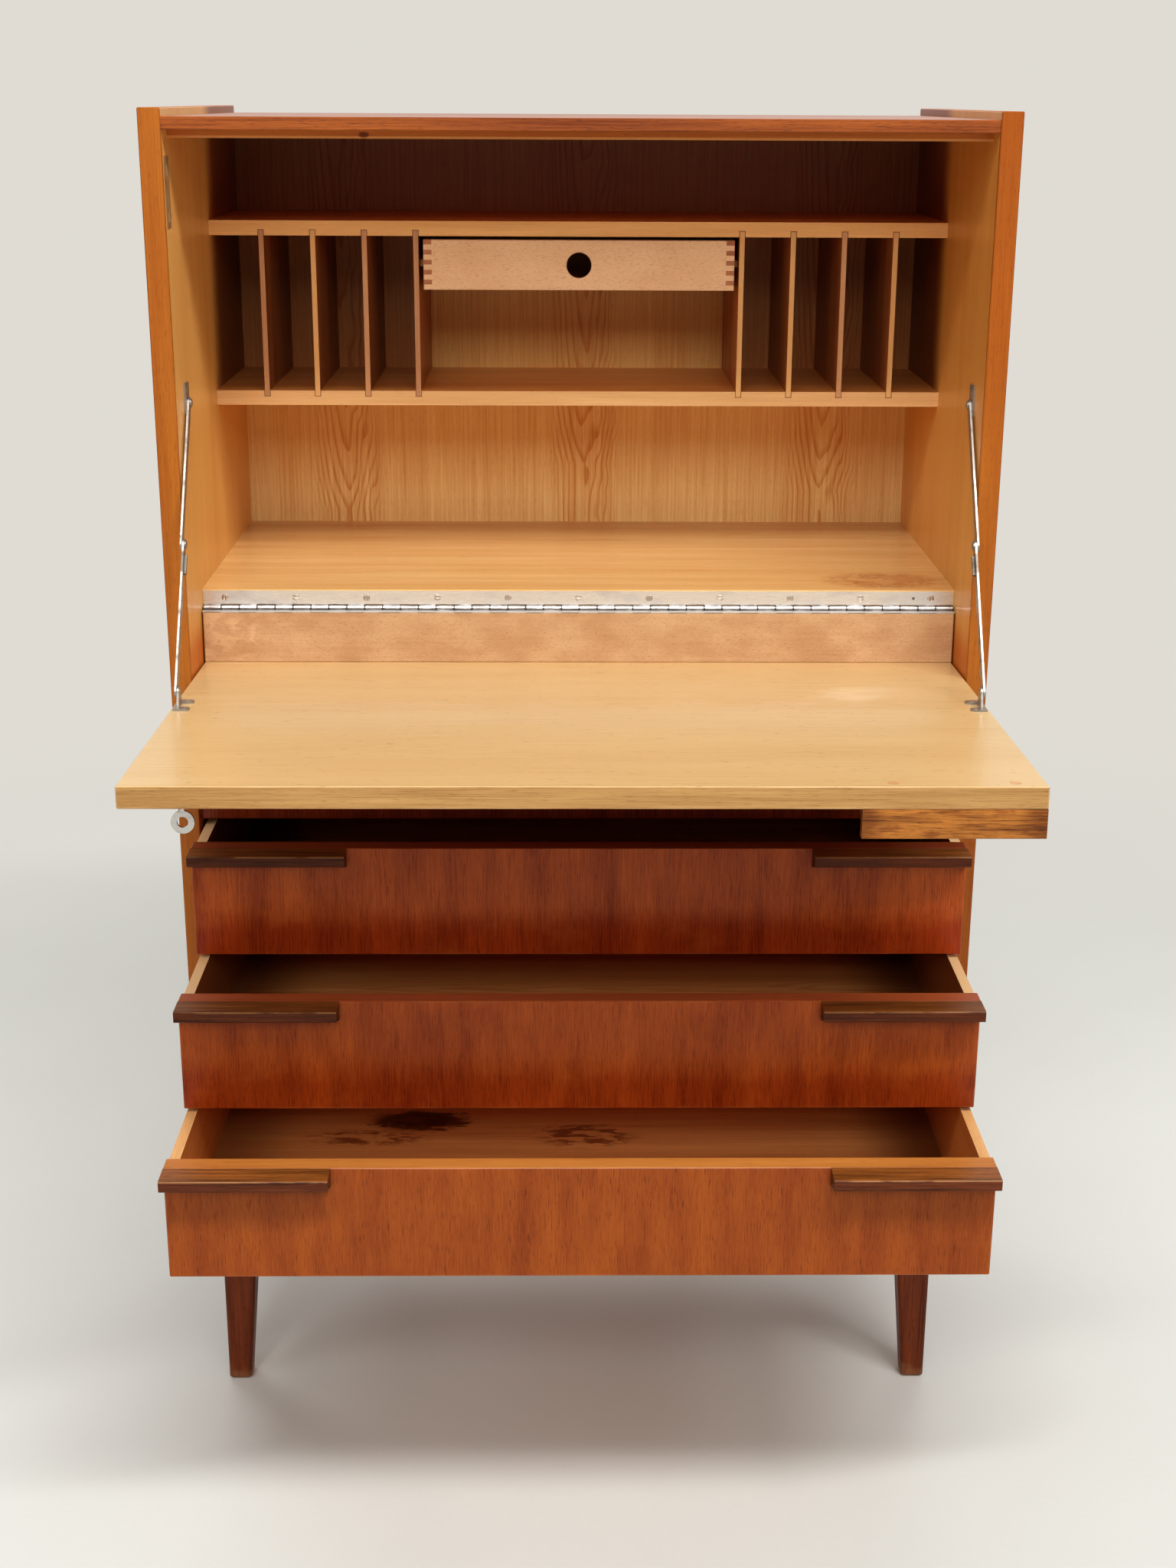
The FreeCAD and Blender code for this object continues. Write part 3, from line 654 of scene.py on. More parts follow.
DIVIDER_DUSK = Wood(tone(182, 128, 88), tone(218, 164, 116), Axis.Z, Axis.X, streak=0.0008, seed=15.0)
BOX_FRONT = Beech(tone(243, 202, 158), tone(233, 187, 141), tone(190, 136, 94), Axis.X, flecks=0.45,
                  length=0.0036, seed=16.0)
BOX_END = Wood(tone(156, 92, 58), tone(198, 134, 96), Axis.Y, Axis.X, streak=0.0006, streaks=0.5, seed=17.0,
               rough=0.5)
BOX_SIDE = Wood(tone(198, 142, 84), tone(228, 178, 118), Axis.Y, Axis.Z, streak=0.0014, seed=18.0, rough=0.46)
DRAWER_SIDE = Wood(tone(196, 138, 80), tone(228, 176, 116), Axis.Y, Axis.Z, band=0.02, streak=0.0014,
                   seed=19.0, rough=0.48)
DRAWER_BACK = Wood(tone(190, 130, 74), tone(224, 168, 106), Axis.X, Axis.Z, seed=20.0, rough=0.48)
DRAWER_FLOOR = Wood(tone(200, 118, 58), tone(242, 168, 96), Axis.X, Axis.Y, band=0.03, leaf=0.26, tip=-0.2,
                    arch=0.03, rings=0.4, seed=21.4, rough=0.4)
APRON = Wood(tone(98, 27, 8), tone(160, 62, 24), Axis.Z, Axis.X, band=0.022, flow=5.0, streak=0.0008,
             streaks=0.46, stretch=34.0, pores=0.4, seed=22.0, rough=0.28)
FALL_FACE = Wood(tone(198, 154, 94), tone(222, 192, 139), Axis.X, Axis.Y, band=0.04, bands=0.2, flow=9.0,
                 streak=0.001, streaks=0.12, stretch=110.0, leaf=0.16, tip=-0.25, arch=0.03, rings=0.2,
                 spread=0.008, pores=0.08, seed=23.3, rough=0.3)
FALL_EDGE = Wood(tone(147, 103, 53), tone(196, 152, 92), Axis.X, Axis.Z, band=0.006, bands=0.35,
                 streak=0.0006, streaks=0.46, stretch=110.0, pores=0.3, seed=24.0)
FALL_OUTER = Wood(tone(116, 42, 13), tone(176, 86, 34), Axis.Y, Axis.X, band=0.024, bands=0.55, flow=9.0,
                  streak=0.0009, streaks=0.44, stretch=50.0, pores=0.4, seed=25.0, rough=0.3)
CLEAT = Beech(tone(203, 163, 121), tone(179, 134, 93), tone(158, 106, 70), Axis.X, flecks=0.6, length=0.0022,
              seed=26.0)
PLUG = Beech(tone(208, 160, 108), tone(197, 144, 92), tone(168, 110, 64), Axis.X, seed=27.0)
GRIP = Wood(tone(32, 12, 7), tone(112, 54, 27), Axis.X, Axis.Z, band=0.007, bands=0.5, streak=0.0008,
            streaks=0.5, pores=0.5, seed=29.0, rough=0.4)
GRIP_TOP = Wood(tone(50, 24, 10), tone(158, 90, 35), Axis.X, Axis.Y, band=0.008, bands=0.5, streak=0.0009,
                streaks=0.55, pores=0.5, seed=30.0, rough=0.36)
FALL_GRIP = Wood(tone(86, 38, 12), tone(212, 135, 57), Axis.X, Axis.Z, band=0.008, bands=0.45, flow=7.0,
                 streak=0.0007, streaks=0.46, stretch=38.0, pores=0.5, seed=31.0, rough=0.36)
LEG = Wood(tone(60, 20, 6), tone(130, 58, 24), Axis.Z, Axis.X, band=0.012, bands=0.45, streak=0.001,
           streaks=0.45, pores=0.5, seed=32.0, rough=0.4)
LEG_WORN = Wood(tone(108, 66, 40), tone(158, 108, 72), Axis.Z, Axis.X, streak=0.001, seed=33.0, rough=0.6)
HINGE_METAL = Metal(tone(228, 228, 229), tone(196, 193, 190), Axis.X, 0.26, 34.0)
STAY_METAL = Metal(tone(168, 164, 158), tone(112, 107, 100), Axis.Z, 0.36, 35.0)
LOCK_METAL = Metal(tone(226, 220, 208), tone(174, 164, 148), Axis.Z, 0.3, 36.0)
KEEP_METAL = Metal(tone(186, 148, 102), tone(146, 102, 62), Axis.Z, 0.4, 40.0)
KEY_METAL = Metal(tone(226, 224, 220), tone(160, 152, 142), Axis.Z, 0.24, 37.0)
SCREW_METAL = Metal(tone(196, 186, 176), tone(128, 114, 102), Axis.Y, 0.3, 38.0)

# Painted shade on the side lining in the pigeonholes.
RECESS_PAINTED_SHADE = Stain(tone(160, 116, 92))
LIPPING_SEAM = Stain(tone(150, 96, 60), 0.5)
# Painted shade on the right side's upper part.
RIGHT_SIDE_PAINTED_SHADE = Stain(tone(239, 220, 194))
# Painted highlight along the lower front edge of the top's stop.
STOP_EDGE_HIGHLIGHT = Stain(tone(255, 190, 110), 0.55, Blend.COVER)
STOP_KNOT = Stain(tone(120, 60, 36), 0.85)
# Painted shade on the back's inner face: letter slots, middle behind the small drawer, compartment above the
# upper shelf.
SLOT_PAINTED_SHADE = Stain(tone(222, 172, 150))
MIDDLE_PAINTED_SHADE = Stain(tone(255, 238, 212))
UPPER_PAINTED_SHADE = Stain(tone(180, 132, 122))
INK_WASH = Stain(tone(196, 128, 90), 0.3)
INK_RIM = Stain(tone(166, 102, 70), 0.45)
# Painted shade at the rear of the desk floor.
DESK_REAR_PAINTED_SHADE = Stain(tone(214, 200, 188), 0.6)
DIVIDER_LINE = Stain(tone(96, 58, 38), 0.8)
HOLE_RIM = Stain(tone(120, 76, 50), 0.7)
BOX_WEAR = Stain(tone(190, 140, 104), 0.25)
# Painted shade on the lower half of the drawer fronts.
FRONT_FOOT_PAINTED_SHADE = Stain(tone(203, 118, 84))
FRONT_WEAR = Stain(tone(198, 116, 58), 0.35, Blend.COVER)
# Painted shade at the ends of the drawer floors.
FLOOR_END_PAINTED_SHADE = Stain(tone(118, 88, 74))
KNOT_FIGURE = Stain(tone(158, 84, 50), 0.7)
KNOT_CORE = Stain(tone(78, 34, 20))
# Painted shade on the drawer sides below their top edges.
DRAWER_SIDE_PAINTED_SHADE = Stain(tone(236, 190, 146))
# Painted light on the drawer sides' top edges.
DRAWER_EDGE_PAINTED_LIGHT = Stain(tone(255, 216, 160), 1.0, Blend.COVER)
GRIP_WEAR = Stain(tone(164, 112, 66), 0.75, Blend.COVER)
FALL_FLECK = Stain(tone(170, 104, 60), 0.5)
FALL_SCUFF = Stain(tone(246, 222, 184), 0.5, Blend.COVER)
FALL_SEAM = Stain(tone(170, 116, 64), 0.3)
FALL_WEAR = Stain(tone(240, 204, 150), 0.4, Blend.COVER)
CLEAT_CURL = Stain(tone(232, 194, 148), 0.3, Blend.COVER)
FALL_GRIP_FIGURE = Stain(tone(150, 92, 56), 0.45)
FALL_GRIP_END = Stain(tone(140, 92, 60), 0.6)
HINGE_DIRT = Stain(tone(96, 70, 52), 0.8)
HINGE_RUST = Stain(tone(150, 104, 76), 0.6)
KNUCKLE_JOINT = Stain(tone(70, 58, 50), 0.9)
KNUCKLE_NOTCH = Stain(tone(110, 94, 82), 0.6)
# Painted shade on the lower half of the hinge barrel.
BARREL_PAINTED_SHADE = Stain(tone(150, 140, 132), 0.75)
FILLED_HOLE = Stain(tone(110, 88, 70), 0.85)
LUG_DULL = Stain(tone(120, 112, 104), 0.8)


class Shape:
    """Closed meshes as arrays: points of shape (n, 3) and faces as lists of corner numbers."""

    @staticmethod
    def revolved(radius: np.ndarray, height: np.ndarray, count: int) -> Solid:
        """Turn a profile about Z, its first and last points on the axis as the poles.

        A point of the grid is (r cos a, r sin a, h), with r and h read along the profile and a round it.

        Args:
            radius: distance of each profile point from the axis, 0 at both ends.
            height: place of each profile point on the axis.
            count: steps round the turn.

        Returns:
            Points and faces, pointing outwards when the profile runs from top to bottom.
        """
        angle = np.linspace(0.0, 2.0 * np.pi, count, endpoint=False)
        r, a = np.meshgrid(radius[1:-1], angle, indexing="ij")
        h = np.broadcast_to(height[1:-1, None], r.shape)
        grid = np.stack([r * np.cos(a), r * np.sin(a), h], axis=-1).reshape(-1, 3)
        points = np.vstack([grid, [[0.0, 0.0, height[0]], [0.0, 0.0, height[-1]]]])
        rows = len(radius) - 2
        number = np.arange(rows * count).reshape(rows, count)
        right = np.roll(number, -1, axis=1)
        quads = np.stack([number[:-1], number[1:], right[1:], right[:-1]], axis=-1).reshape(-1, 4)
        top = np.stack([np.full(count, rows * count), number[0], right[0]], axis=-1)
        low = np.stack([np.full(count, rows * count + 1), right[-1], number[-1]], axis=-1)
        return points, quads.tolist() + top.tolist() + low.tolist()

    @staticmethod
    def screw_head(radius: float, rise: float, slot: float) -> Solid:
        """Raised countersunk head with a straight slot.

        The crown stands at rise (1 - (r/R)^2), less the slot's depth times exp(-(d/w)^4), where d is the
        distance from the slot's middle line and w is 0.16 R; the rim then turns under to a flat seat.

        Args:
            radius: radius R of the head.
            rise: height of the crown.
            slot: depth of the slot.

        Returns:
            Points and faces with the rim at height 0.
        """
        crown = np.linspace(0.0, 1.0, 10)
        r = np.concatenate([crown, [0.96, 0.7, 0.0]]) * radius
        h = np.concatenate([rise * (1.0 - crown**2), [-0.12 * radius, -0.16 * radius, -0.16 * radius]])
        points, faces = Shape.revolved(r, h, 28)
        groove = slot * np.exp(-((points[:, 1] / (0.16 * radius)) ** 4))
        reach = np.hypot(points[:, 0], points[:, 1]) / radius
        on_crown = (points[:, 2] >= 0.0) & (reach < 0.999)
        points[:, 2] -= np.where(on_crown, groove, 0.0)
        return points, faces

    @staticmethod
    def dome(radius: float, rise: float) -> Solid:
        """Round rivet head: a quarter circle drawn out to rise, then a flat seat a little below 0.

        Args:
            radius: radius of the rim.
            rise: height of the crown.

        Returns:
            Points and faces with the rim at height 0.
        """
        turn = np.linspace(0.0, np.pi / 2.0, 8)
        r = np.concatenate([radius * np.sin(turn), [0.9 * radius, 0.0]])
        h = np.concatenate([rise * np.cos(turn), [-0.2 * rise, -0.2 * rise]])
        return Shape.revolved(r, h, 24)

    @staticmethod
    def repeated(shape: Solid, places: np.ndarray, outward: Triple, turns: np.ndarray) -> Solid:
        """Copies of a small shape, each turned about its own axis.

        A point goes to B (x cos t - y sin t, x sin t + y cos t, z) + p, with t the copy's turn, p its centre
        and B the turn that takes Z outward.

        Args:
            shape: points and faces, its axis along Z.
            places: centres of the copies, of shape (k, 3).
            outward: direction that the copies' Z takes.
            turns: angle of each copy about its axis.

        Returns:
            Points and faces of all the copies.
        """
        points, faces = shape
        basis = np.array(Vector(outward).to_track_quat("Z", "Y").to_matrix())
        c, s = np.cos(turns)[:, None], np.sin(turns)[:, None]
        x = points[None, :, 0] * c - points[None, :, 1] * s
        y = points[None, :, 0] * s + points[None, :, 1] * c
        z = np.broadcast_to(points[None, :, 2], x.shape)
        moved = np.stack([x, y, z], axis=-1) @ basis.T + places[:, None, :]
        sheets = [np.array(f)[None] for f in faces]
        shift = np.arange(len(places))[:, None] * len(points)
        copies = [row for sheet in sheets for row in (sheet + shift).tolist()]
        return moved.reshape(-1, 3), copies


def linked(name: str, data: Any) -> bpy.types.Object:
    """Put a mesh, lamp or camera into the scene.

    Args:
        name: name of the new object.
        data: its data.

    Returns:
        The new object.
    """
    made = bpy.data.objects.new(name, data)
    bpy.context.scene.collection.objects.link(made)
    return made


def mesh_of(name: str, shape: Solid, finish: Any) -> bpy.types.Mesh:
    """Mesh of points and faces with its material.

    Args:
        name: name of the mesh.
        shape: points and faces.
        finish: the material.

    Returns:
        The new mesh.
    """
    mesh = bpy.data.meshes.new(name)
    mesh.from_pydata(shape[0].tolist(), [], shape[1])
    mesh.materials.append(finish)
    return mesh


@dataclass
class Workshop:
    """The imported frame, with the ways to dress its nodes and to add pieces.

    Args:
        frame: what the frame loader returned.
    """

    frame: Dict[str, Any]

    def joint(self, name: str) -> Mapping[str, Any]:
        """A joint of the record by its name."""
        return next(j for j in self.frame["joints"] if j["name"] == name)

    def hinge_line(self) -> Triple:
        """A point on the long hinge's axis."""
        return tuple(self.joint("fall_hinge")["pos_m"])

    def tilt(self) -> float:
        """Angle of the fall above level, read from the key's axis."""
        axis = self.joint("key_turn")["axis"]
        return math.atan2(axis[1], axis[2])

    def fall_place(self, tree: Tree) -> Place:
        """Coordinates on the fall with its tilt taken out."""
        return Place(tree, self.tilt(), self.hinge_line())

    def fall_matrix(self) -> Matrix:
        """Turn from the level fall to the fall as it lies."""
        pivot = Vector(self.hinge_line())
        return Matrix.Translation(pivot) @ Matrix.Rotation(-self.tilt(), 4, "X") @ Matrix.Translation(-pivot)

    def level_points(self, node: str) -> np.ndarray:
        """Corners of a fall piece's mesh, laid level.

        Args:
            node: name of the piece.

        Returns:
            The corners, of shape (n, 3).
        """
        mesh = self.frame["nodes"][node].data
        points = np.empty(len(mesh.vertices) * 3)
        mesh.vertices.foreach_get("co", points)
        level = np.array(self.fall_matrix().inverted())
        return points.reshape(-1, 3) @ level[:3, :3].T + level[:3, 3]

    def level_box(self, node: str) -> Tuple[np.ndarray, np.ndarray]:
        """Lowest and highest corner of a fall piece, laid level."""
        points = self.level_points(node)
        return points.min(axis=0), points.max(axis=0)

    def dress(self, finish: Any, *nodes: str) -> None:
        """Put a material on nodes of the frame.

        Args:
            finish: the material.
            nodes: names of the nodes.
        """
        for name in nodes:
            piece = self.frame["nodes"][name]
            if not piece.material_slots:
                piece.data.materials.append(finish)
            for slot in piece.material_slots:
                slot.material = finish
            LOG.info("dressed %s with %s", name, finish.name)

    def add(self, name: str, shape: Solid, finish: Any, body: str, slot: str) -> None:
        """Add a new piece.

        Args:
            name: name of the piece.
            shape: points and faces in the cabinet's frame.
            finish: its material.
            body: body that it rides on.
            slot: slot of the record that its finish belongs to; not used.
        """
        mesh = mesh_of(name, shape, finish)
        mesh.polygons.foreach_set("use_smooth", np.ones(len(mesh.polygons), dtype=bool))
        piece = linked(name, mesh)
        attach(piece, body)
        LOG.info("added %s on %s, %d faces", name, body, len(mesh.polygons))


@dataclass
class Carcass:
    """Sides, top, back, floors and rails.

    Args:
        lipping: how far the front lipping shows on a side's inner face.
        lining_foot: heights from the hinge line between which the lower timber turns into the lining.
        warm_across: places on X between which the right side's painted shade sets in.
        warm_up: heights between which the right side's painted shade sets in.
        lip: height of the top's front lip.
        wear_up: heights above the stop's lower edge at which its painted highlight ends and is full.
        wear_in: depths behind the top's front at which the painted highlight ends and is full.
        knot: middle of the small knot under the top's lip.
        knot_reach: half lengths of the knot.
        ink: middle of the ink marks on the desk floor.
        ink_reach: half lengths of the ink marks.
        desk_dusk: depths between which painted shade darkens the desk floor towards the rear.
        pin: radius of a pin's head in the back.
        pin_crown: height of a pin's head.
        pin_inset: distance of the pins from the back's edges.
        pins_across: number of pins along the back's top and foot.
        pins_down: number of pins along the back's flanks.
    """

    lipping: float = 3.5 * MM
    lining_foot: Span = (-34.0 * MM, 4.0 * MM)
    warm_across: Span = (-0.1, 0.1)
    warm_up: Span = (0.85, 1.15)
    lip: float = 11.0 * MM
    wear_up: Span = (2.6 * MM, 1.4 * MM)
    wear_in: Span = (40.0 * MM, 30.0 * MM)
    knot: Triple = (-0.187, -0.0073, 1.2442)
    knot_reach: Triple = (0.006, 0.01, 0.0032)
    ink: Triple = (0.296, 0.088, 0.833)
    ink_reach: Triple = (0.062, 0.034, 0.01)
    desk_dusk: Span = (0.22, 0.36)
    pin: float = 2.0 * MM
    pin_crown: float = 0.6 * MM
    pin_inset: float = 7.0 * MM
    pins_across: int = 7
    pins_down: int = 9

    def side_finish(self, shop: Workshop) -> Any:
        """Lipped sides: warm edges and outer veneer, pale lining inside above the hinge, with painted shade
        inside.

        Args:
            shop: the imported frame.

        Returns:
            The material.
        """
        low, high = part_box("right_side")
        shelf_low, shelf_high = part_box("lower_shelf")
        hinge = shop.hinge_line()[2]
        seam = low.y + self.lipping
        tree = material_tree("side_veneer")
        place = Place(tree)
        inner = abs(place.x).near(low.x)
        outer = abs(place.x).near(high.x, 0.3 * MM, 0.1 * MM)
        layer = tree.over(SIDE_EDGE.layer(tree, place), SIDE_FACE.layer(tree, place), outer)
        above = place.z.rise(hinge + self.lining_foot[0], hinge + self.lining_foot[1])
        lining = tree.over(SIDE_LOWER.layer(tree, place), SIDE_LINING.layer(tree, place), above)
        # Painted shade: the lining above the lower shelf and behind its front edge is darkened where the
        # shelves shade it.
        behind = place.y.rise(shelf_low.y - 10.0 * MM, shelf_low.y + 50.0 * MM)
        recess = place.z.rise(shelf_high.z - 10.0 * MM, shelf_high.z) * behind
        lining = tree.stain(lining, recess, RECESS_PAINTED_SHADE)
        layer = tree.over(layer, lining, inner * place.y.rise(seam, seam + 0.3 * MM))
        line = place.y.rise(seam - 0.4 * MM, seam) * place.y.rise(seam + 0.8 * MM, seam + 0.3 * MM)
        layer = tree.stain(layer, line * inner, LIPPING_SEAM)
        # Painted shade: the right side darkens towards the top, on all but its outer face.
        warm = place.x.rise(*self.warm_across) * place.z.rise(*self.warm_up) * (1.0 - outer)
        return tree.close(tree.stain(layer, warm, RIGHT_SIDE_PAINTED_SHADE), coat=0.05)

    def top_finish(self) -> Any:
        """Top board: red-brown face and lip, pale stop under the lip with one knot and a painted highlight on
        its lower edge.

        Returns:
            The material.
        """
        low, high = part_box("top_panel")
        lip = high.z - self.lip
        tree = material_tree("top_veneer")
        place = Place(tree)
        front = place.y.near(low.y, 1.2 * MM, 0.9 * MM)
        layer = tree.over(TOP_FACE.layer(tree, place), TOP_LIP.layer(tree, place), front)
        under = place.z.rise(lip + 0.2 * MM, lip - 0.1 * MM)
        layer = tree.over(layer, TOP_UNDER.layer(tree, place), under)
        # Painted highlight: a pale line along the stop's lower front edge, near the front.
        worn = (place.z - low.z).rise(*self.wear_up) * (place.y - low.y).rise(*self.wear_in)
        layer = tree.stain(layer, worn, STOP_EDGE_HIGHLIGHT)
        knot = place.patch(self.knot, self.knot_reach).rise(1.0, 0.5)
        return tree.close(tree.stain(layer, knot, STOP_KNOT), coat=0.15)

    def back_finish(self) -> Any:
        """Back: lining veneer with painted shade inside: deeper in the letter slots, deepest above the upper
        shelf.

        Returns:
            The material.
        """
        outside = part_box("back_panel")[1].y
        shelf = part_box("upper_shelf")[1].z
        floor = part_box("lower_shelf")[1].z
        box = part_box("small_drawer_front")[1].x
        tree = material_tree("lining_veneer")
        place = Place(tree)
        inner = place.y.rise(outside - 1.0 * MM, outside - 2.0 * MM)
        above = place.z.rise(shelf - 20.0 * MM, shelf) * inner
        between = place.z.rise(floor - 10.0 * MM, floor) * (1.0 - above) * inner
        slots = between * abs(place.x).rise(box, box + 10.0 * MM)
        # Painted shade: deeper in the letter slots, lighter and warmer in the middle, deepest above the upper
        # shelf.
        layer = tree.stain(LINING.layer(tree, place), slots, SLOT_PAINTED_SHADE)
        layer = tree.stain(layer, between - slots, MIDDLE_PAINTED_SHADE)
        return tree.close(tree.stain(layer, above, UPPER_PAINTED_SHADE), coat=0.1)

    def desk_finish(self) -> Any:
        """Desk floor with old ink marks near its right end and painted shade towards the rear.

        Returns:
            The material.
        """
        tree = material_tree("desk_veneer")
        place = Place(tree)
        inside = place.patch(self.ink, self.ink_reach).rise(1.2, 0.6)
        blots = tree.noise(place, (0.022, 0.016, 0.016), 40.0, 4.0)
        layer = tree.stain(DESK.layer(tree, place), inside * (1.0 + blots.rise(0.45, 0.8)), INK_WASH)
        layer = tree.stain(layer, inside * blots.near(0.5, 0.09, 0.02), INK_RIM)
        # Painted shade: the desk floor darkens towards the rear.
        layer = tree.stain(layer, place.y.rise(*self.desk_dusk), DESK_REAR_PAINTED_SHADE)
        return tree.close(layer, coat=0.45, haze=0.13)

    def dress(self, shop: Workshop) -> None:
        """Finish the fixed boards.

        Args:
            shop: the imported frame.
        """
        shop.dress(self.side_finish(shop), "left_side", "right_side")
        shop.dress(self.top_finish(), "top_panel")
        shop.dress(self.back_finish(), "back_panel")
        shop.dress(self.desk_finish(), "desk_floor")
        shop.dress(plain("rail_veneer", APRON, coat=0.1), "front_apron")
        shop.dress(plain("bottom_veneer", SIDE_FACE, coat=0.1), "bottom_board")
        shop.dress(plain("hidden_board", DRAWER_BACK, coat=0.1), "dust_panel")
        shop.dress(plain("runner_wood", DRAWER_SIDE, coat=0.1), "drawer_runners")
        self.pin_back(shop)

    def pin_back(self, shop: Workshop) -> None:
        """Round pins that hold the back, at even steps along its four edges.

        Args:
            shop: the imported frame.
        """
        low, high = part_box("back_panel")
        left, right = low.x + self.pin_inset, high.x - self.pin_inset
        foot, head = low.z + self.pin_inset, high.z - self.pin_inset
        x = np.linspace(left, right, self.pins_across)
        z = np.linspace(foot, head, self.pins_down)[1:-1]
        ends = np.stack([np.tile(x, 2), np.repeat([foot, head], len(x))], axis=-1)
        flanks = np.stack([np.repeat([left, right], len(z)), np.tile(z, 2)], axis=-1)
        spots = np.vstack([ends, flanks])
        places = np.stack([spots[:, 0], np.full(len(spots), high.y), spots[:, 1]], axis=-1)
        dome = Shape.dome(self.pin, self.pin_crown)
        heads = Shape.repeated(dome, places, (0.0, 1.0, 0.0), np.zeros(len(places)))
        steel = plain("back_pin_steel", SCREW_METAL, metallic=0.9, relief=0.03 * MM)
        shop.add("back_pins", heads, steel, "carcass", "hinge_metal")


@dataclass
class Pigeonholes:
    """Shelves and letter dividers.

    Args:
        pitch: spacing of the dividers.
        board: thickness of a divider.
        number: how many dividers stand on each side.
    """

    pitch: float = 49.6 * MM
    board: float = 4.8 * MM
    number: int = 4

    def slot_lines(self, place: Place) -> Value:
        """Dark line round the divider ends that are let into the shelves' front edges.

        Args:
            place: where the point lies.

        Returns:
            1 on the line and the end inside it.
        """
        low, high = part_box("letter_dividers_right")
        count = (abs(place.x) - (low.x + self.board / 2)) / self.pitch
        beside = abs((count + 0.5).part() - 0.5) * self.pitch - self.board / 2
        beyond = (low.z - place.z).most(place.z - high.z)
        row = count.rise(-0.4, -0.3) * count.rise(self.number - 0.6, self.number - 0.7)
        return beside.most(beyond).rise(1.0 * MM, 0.5 * MM) * row

    def shelf_finish(self, node: str, lipping: Wood) -> Any:
        """Shelf: warm face with a pale solid front edge that the dividers are let into.

        Args:
            node: name of the shelf.
            lipping: timber of its front edge.

        Returns:
            The material.
        """
        tree = material_tree(node + "_wood")
        place = Place(tree)
        edge = place.y.near(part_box(node)[0].y)
        front = tree.stain(lipping.layer(tree, place), self.slot_lines(place), DIVIDER_LINE)
        return tree.close(tree.over(SHELF_FACE.layer(tree, place), front, edge), coat=0.15)

    def divider_finish(self) -> Any:
        """Dividers: dusky or pale front edges by turns, darker faces.

        Returns:
            The material.
        """
        tree = material_tree("divider_wood")
        place = Place(tree)
        edge = place.y.near(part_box("letter_dividers_right")[0].y)
        number = (place.x / self.pitch + 20.3).whole()
        pale = (number * 0.37 + 0.1).part().rise(0.55, 0.56)
        edges = tree.over(DIVIDER_DUSK.layer(tree, place), DIVIDER_PALE.layer(tree, place), pale)
        return tree.close(tree.over(DIVIDER_FACE.layer(tree, place), edges, edge), coat=0.1)

    def dress(self, shop: Workshop) -> None:
        """Finish the shelves and dividers.

        Args:
            shop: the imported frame.
        """
        # The upper shelf's edge takes the lighter copy of the edge timber, as painted light.
        for node, lipping in (("lower_shelf", SHELF_EDGE), ("upper_shelf", UPPER_EDGE_PAINTED_LIGHT)):
            shop.dress(self.shelf_finish(node, lipping), node)
        shop.dress(self.divider_finish(), "letter_dividers_left", "letter_dividers_right")
        shop.dress(plain("small_runner_wood", BOX_SIDE), "small_drawer_runners")


@dataclass
class SmallDrawer:
    """Finger-jointed drawer under the upper shelf.

    Args:
        rim: width of the dark line round the finger hole.
        hole: radius of the finger hole.
    """

    rim: float = 0.6 * MM
    hole: float = 12.0 * MM

    def front_finish(self) -> Any:
        """Beech front with a darker line round its finger hole.

        Returns:
            The material.
        """
        low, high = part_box("small_drawer_front")
        tree = material_tree("small_front_beech")
        place = Place(tree)
        centre = ((low.x + high.x) / 2, (low.y + high.y) / 2, (low.z + high.z) / 2)
        out = place.patch(centre, (self.hole, 1.0, self.hole))
        ring = out.rise(1.0 + self.rim / self.hole, 1.0)
        layer = tree.stain(BOX_FRONT.layer(tree, place), ring, HOLE_RIM)
        worn = place.edge(low, high).rise(1.2 * MM, 0.2 * MM)
        return tree.close(tree.stain(layer, worn, BOX_WEAR), coat=0.08)

    def side_finish(self) -> Any:
        """Sides, with end grain on the fingers that show in front.

        Returns:
            The material.
        """
        tree = material_tree("small_side_beech")
        place = Place(tree)
        ends = place.y.near(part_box("small_drawer_sides")[0].y, 0.5 * MM)
        return tree.close(tree.over(BOX_SIDE.layer(tree, place), BOX_END.layer(tree, place), ends))

    def dress(self, shop: Workshop) -> None:
        """Finish the small drawer.

        Args:
            shop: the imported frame.
        """
        shop.dress(self.front_finish(), "small_drawer_front")
        shop.dress(self.side_finish(), "small_drawer_sides")
        shop.dress(plain("small_back_beech", BOX_SIDE), "small_drawer_back", "small_drawer_bottom")


class FrontTone(Enum):
    """The three drawer fronts, top one first.

    Each holds the dark and light veneer, the dark and light top lipping, and how strongly painted shade
    darkens the foot.
    """

    UPPER = (tone(122, 38, 11), tone(205, 96, 36), tone(112, 45, 18), tone(152, 70, 34), 0.68)
    MIDDLE = (tone(115, 36, 9), tone(190, 90, 30), tone(140, 61, 29), tone(184, 92, 48), 0.6)
    LOWER = (tone(120, 46, 13), tone(168, 84, 27), tone(158, 86, 32), tone(198, 128, 57), 0.06)


class BoxTone(Enum):
    """Painted light and shade of the three drawers' insides, top one first.

    Each holds the inner faces' painted shade, the top edges' painted light and the floor's left-end painted
    shade.
    """

    UPPER = (tone(150, 140, 140), 0.85, 0.88)
    MIDDLE = (tone(190, 184, 190), 0.6, 0.8)
    LOWER = (tone(255, 255, 255), 0.0, 0.55)


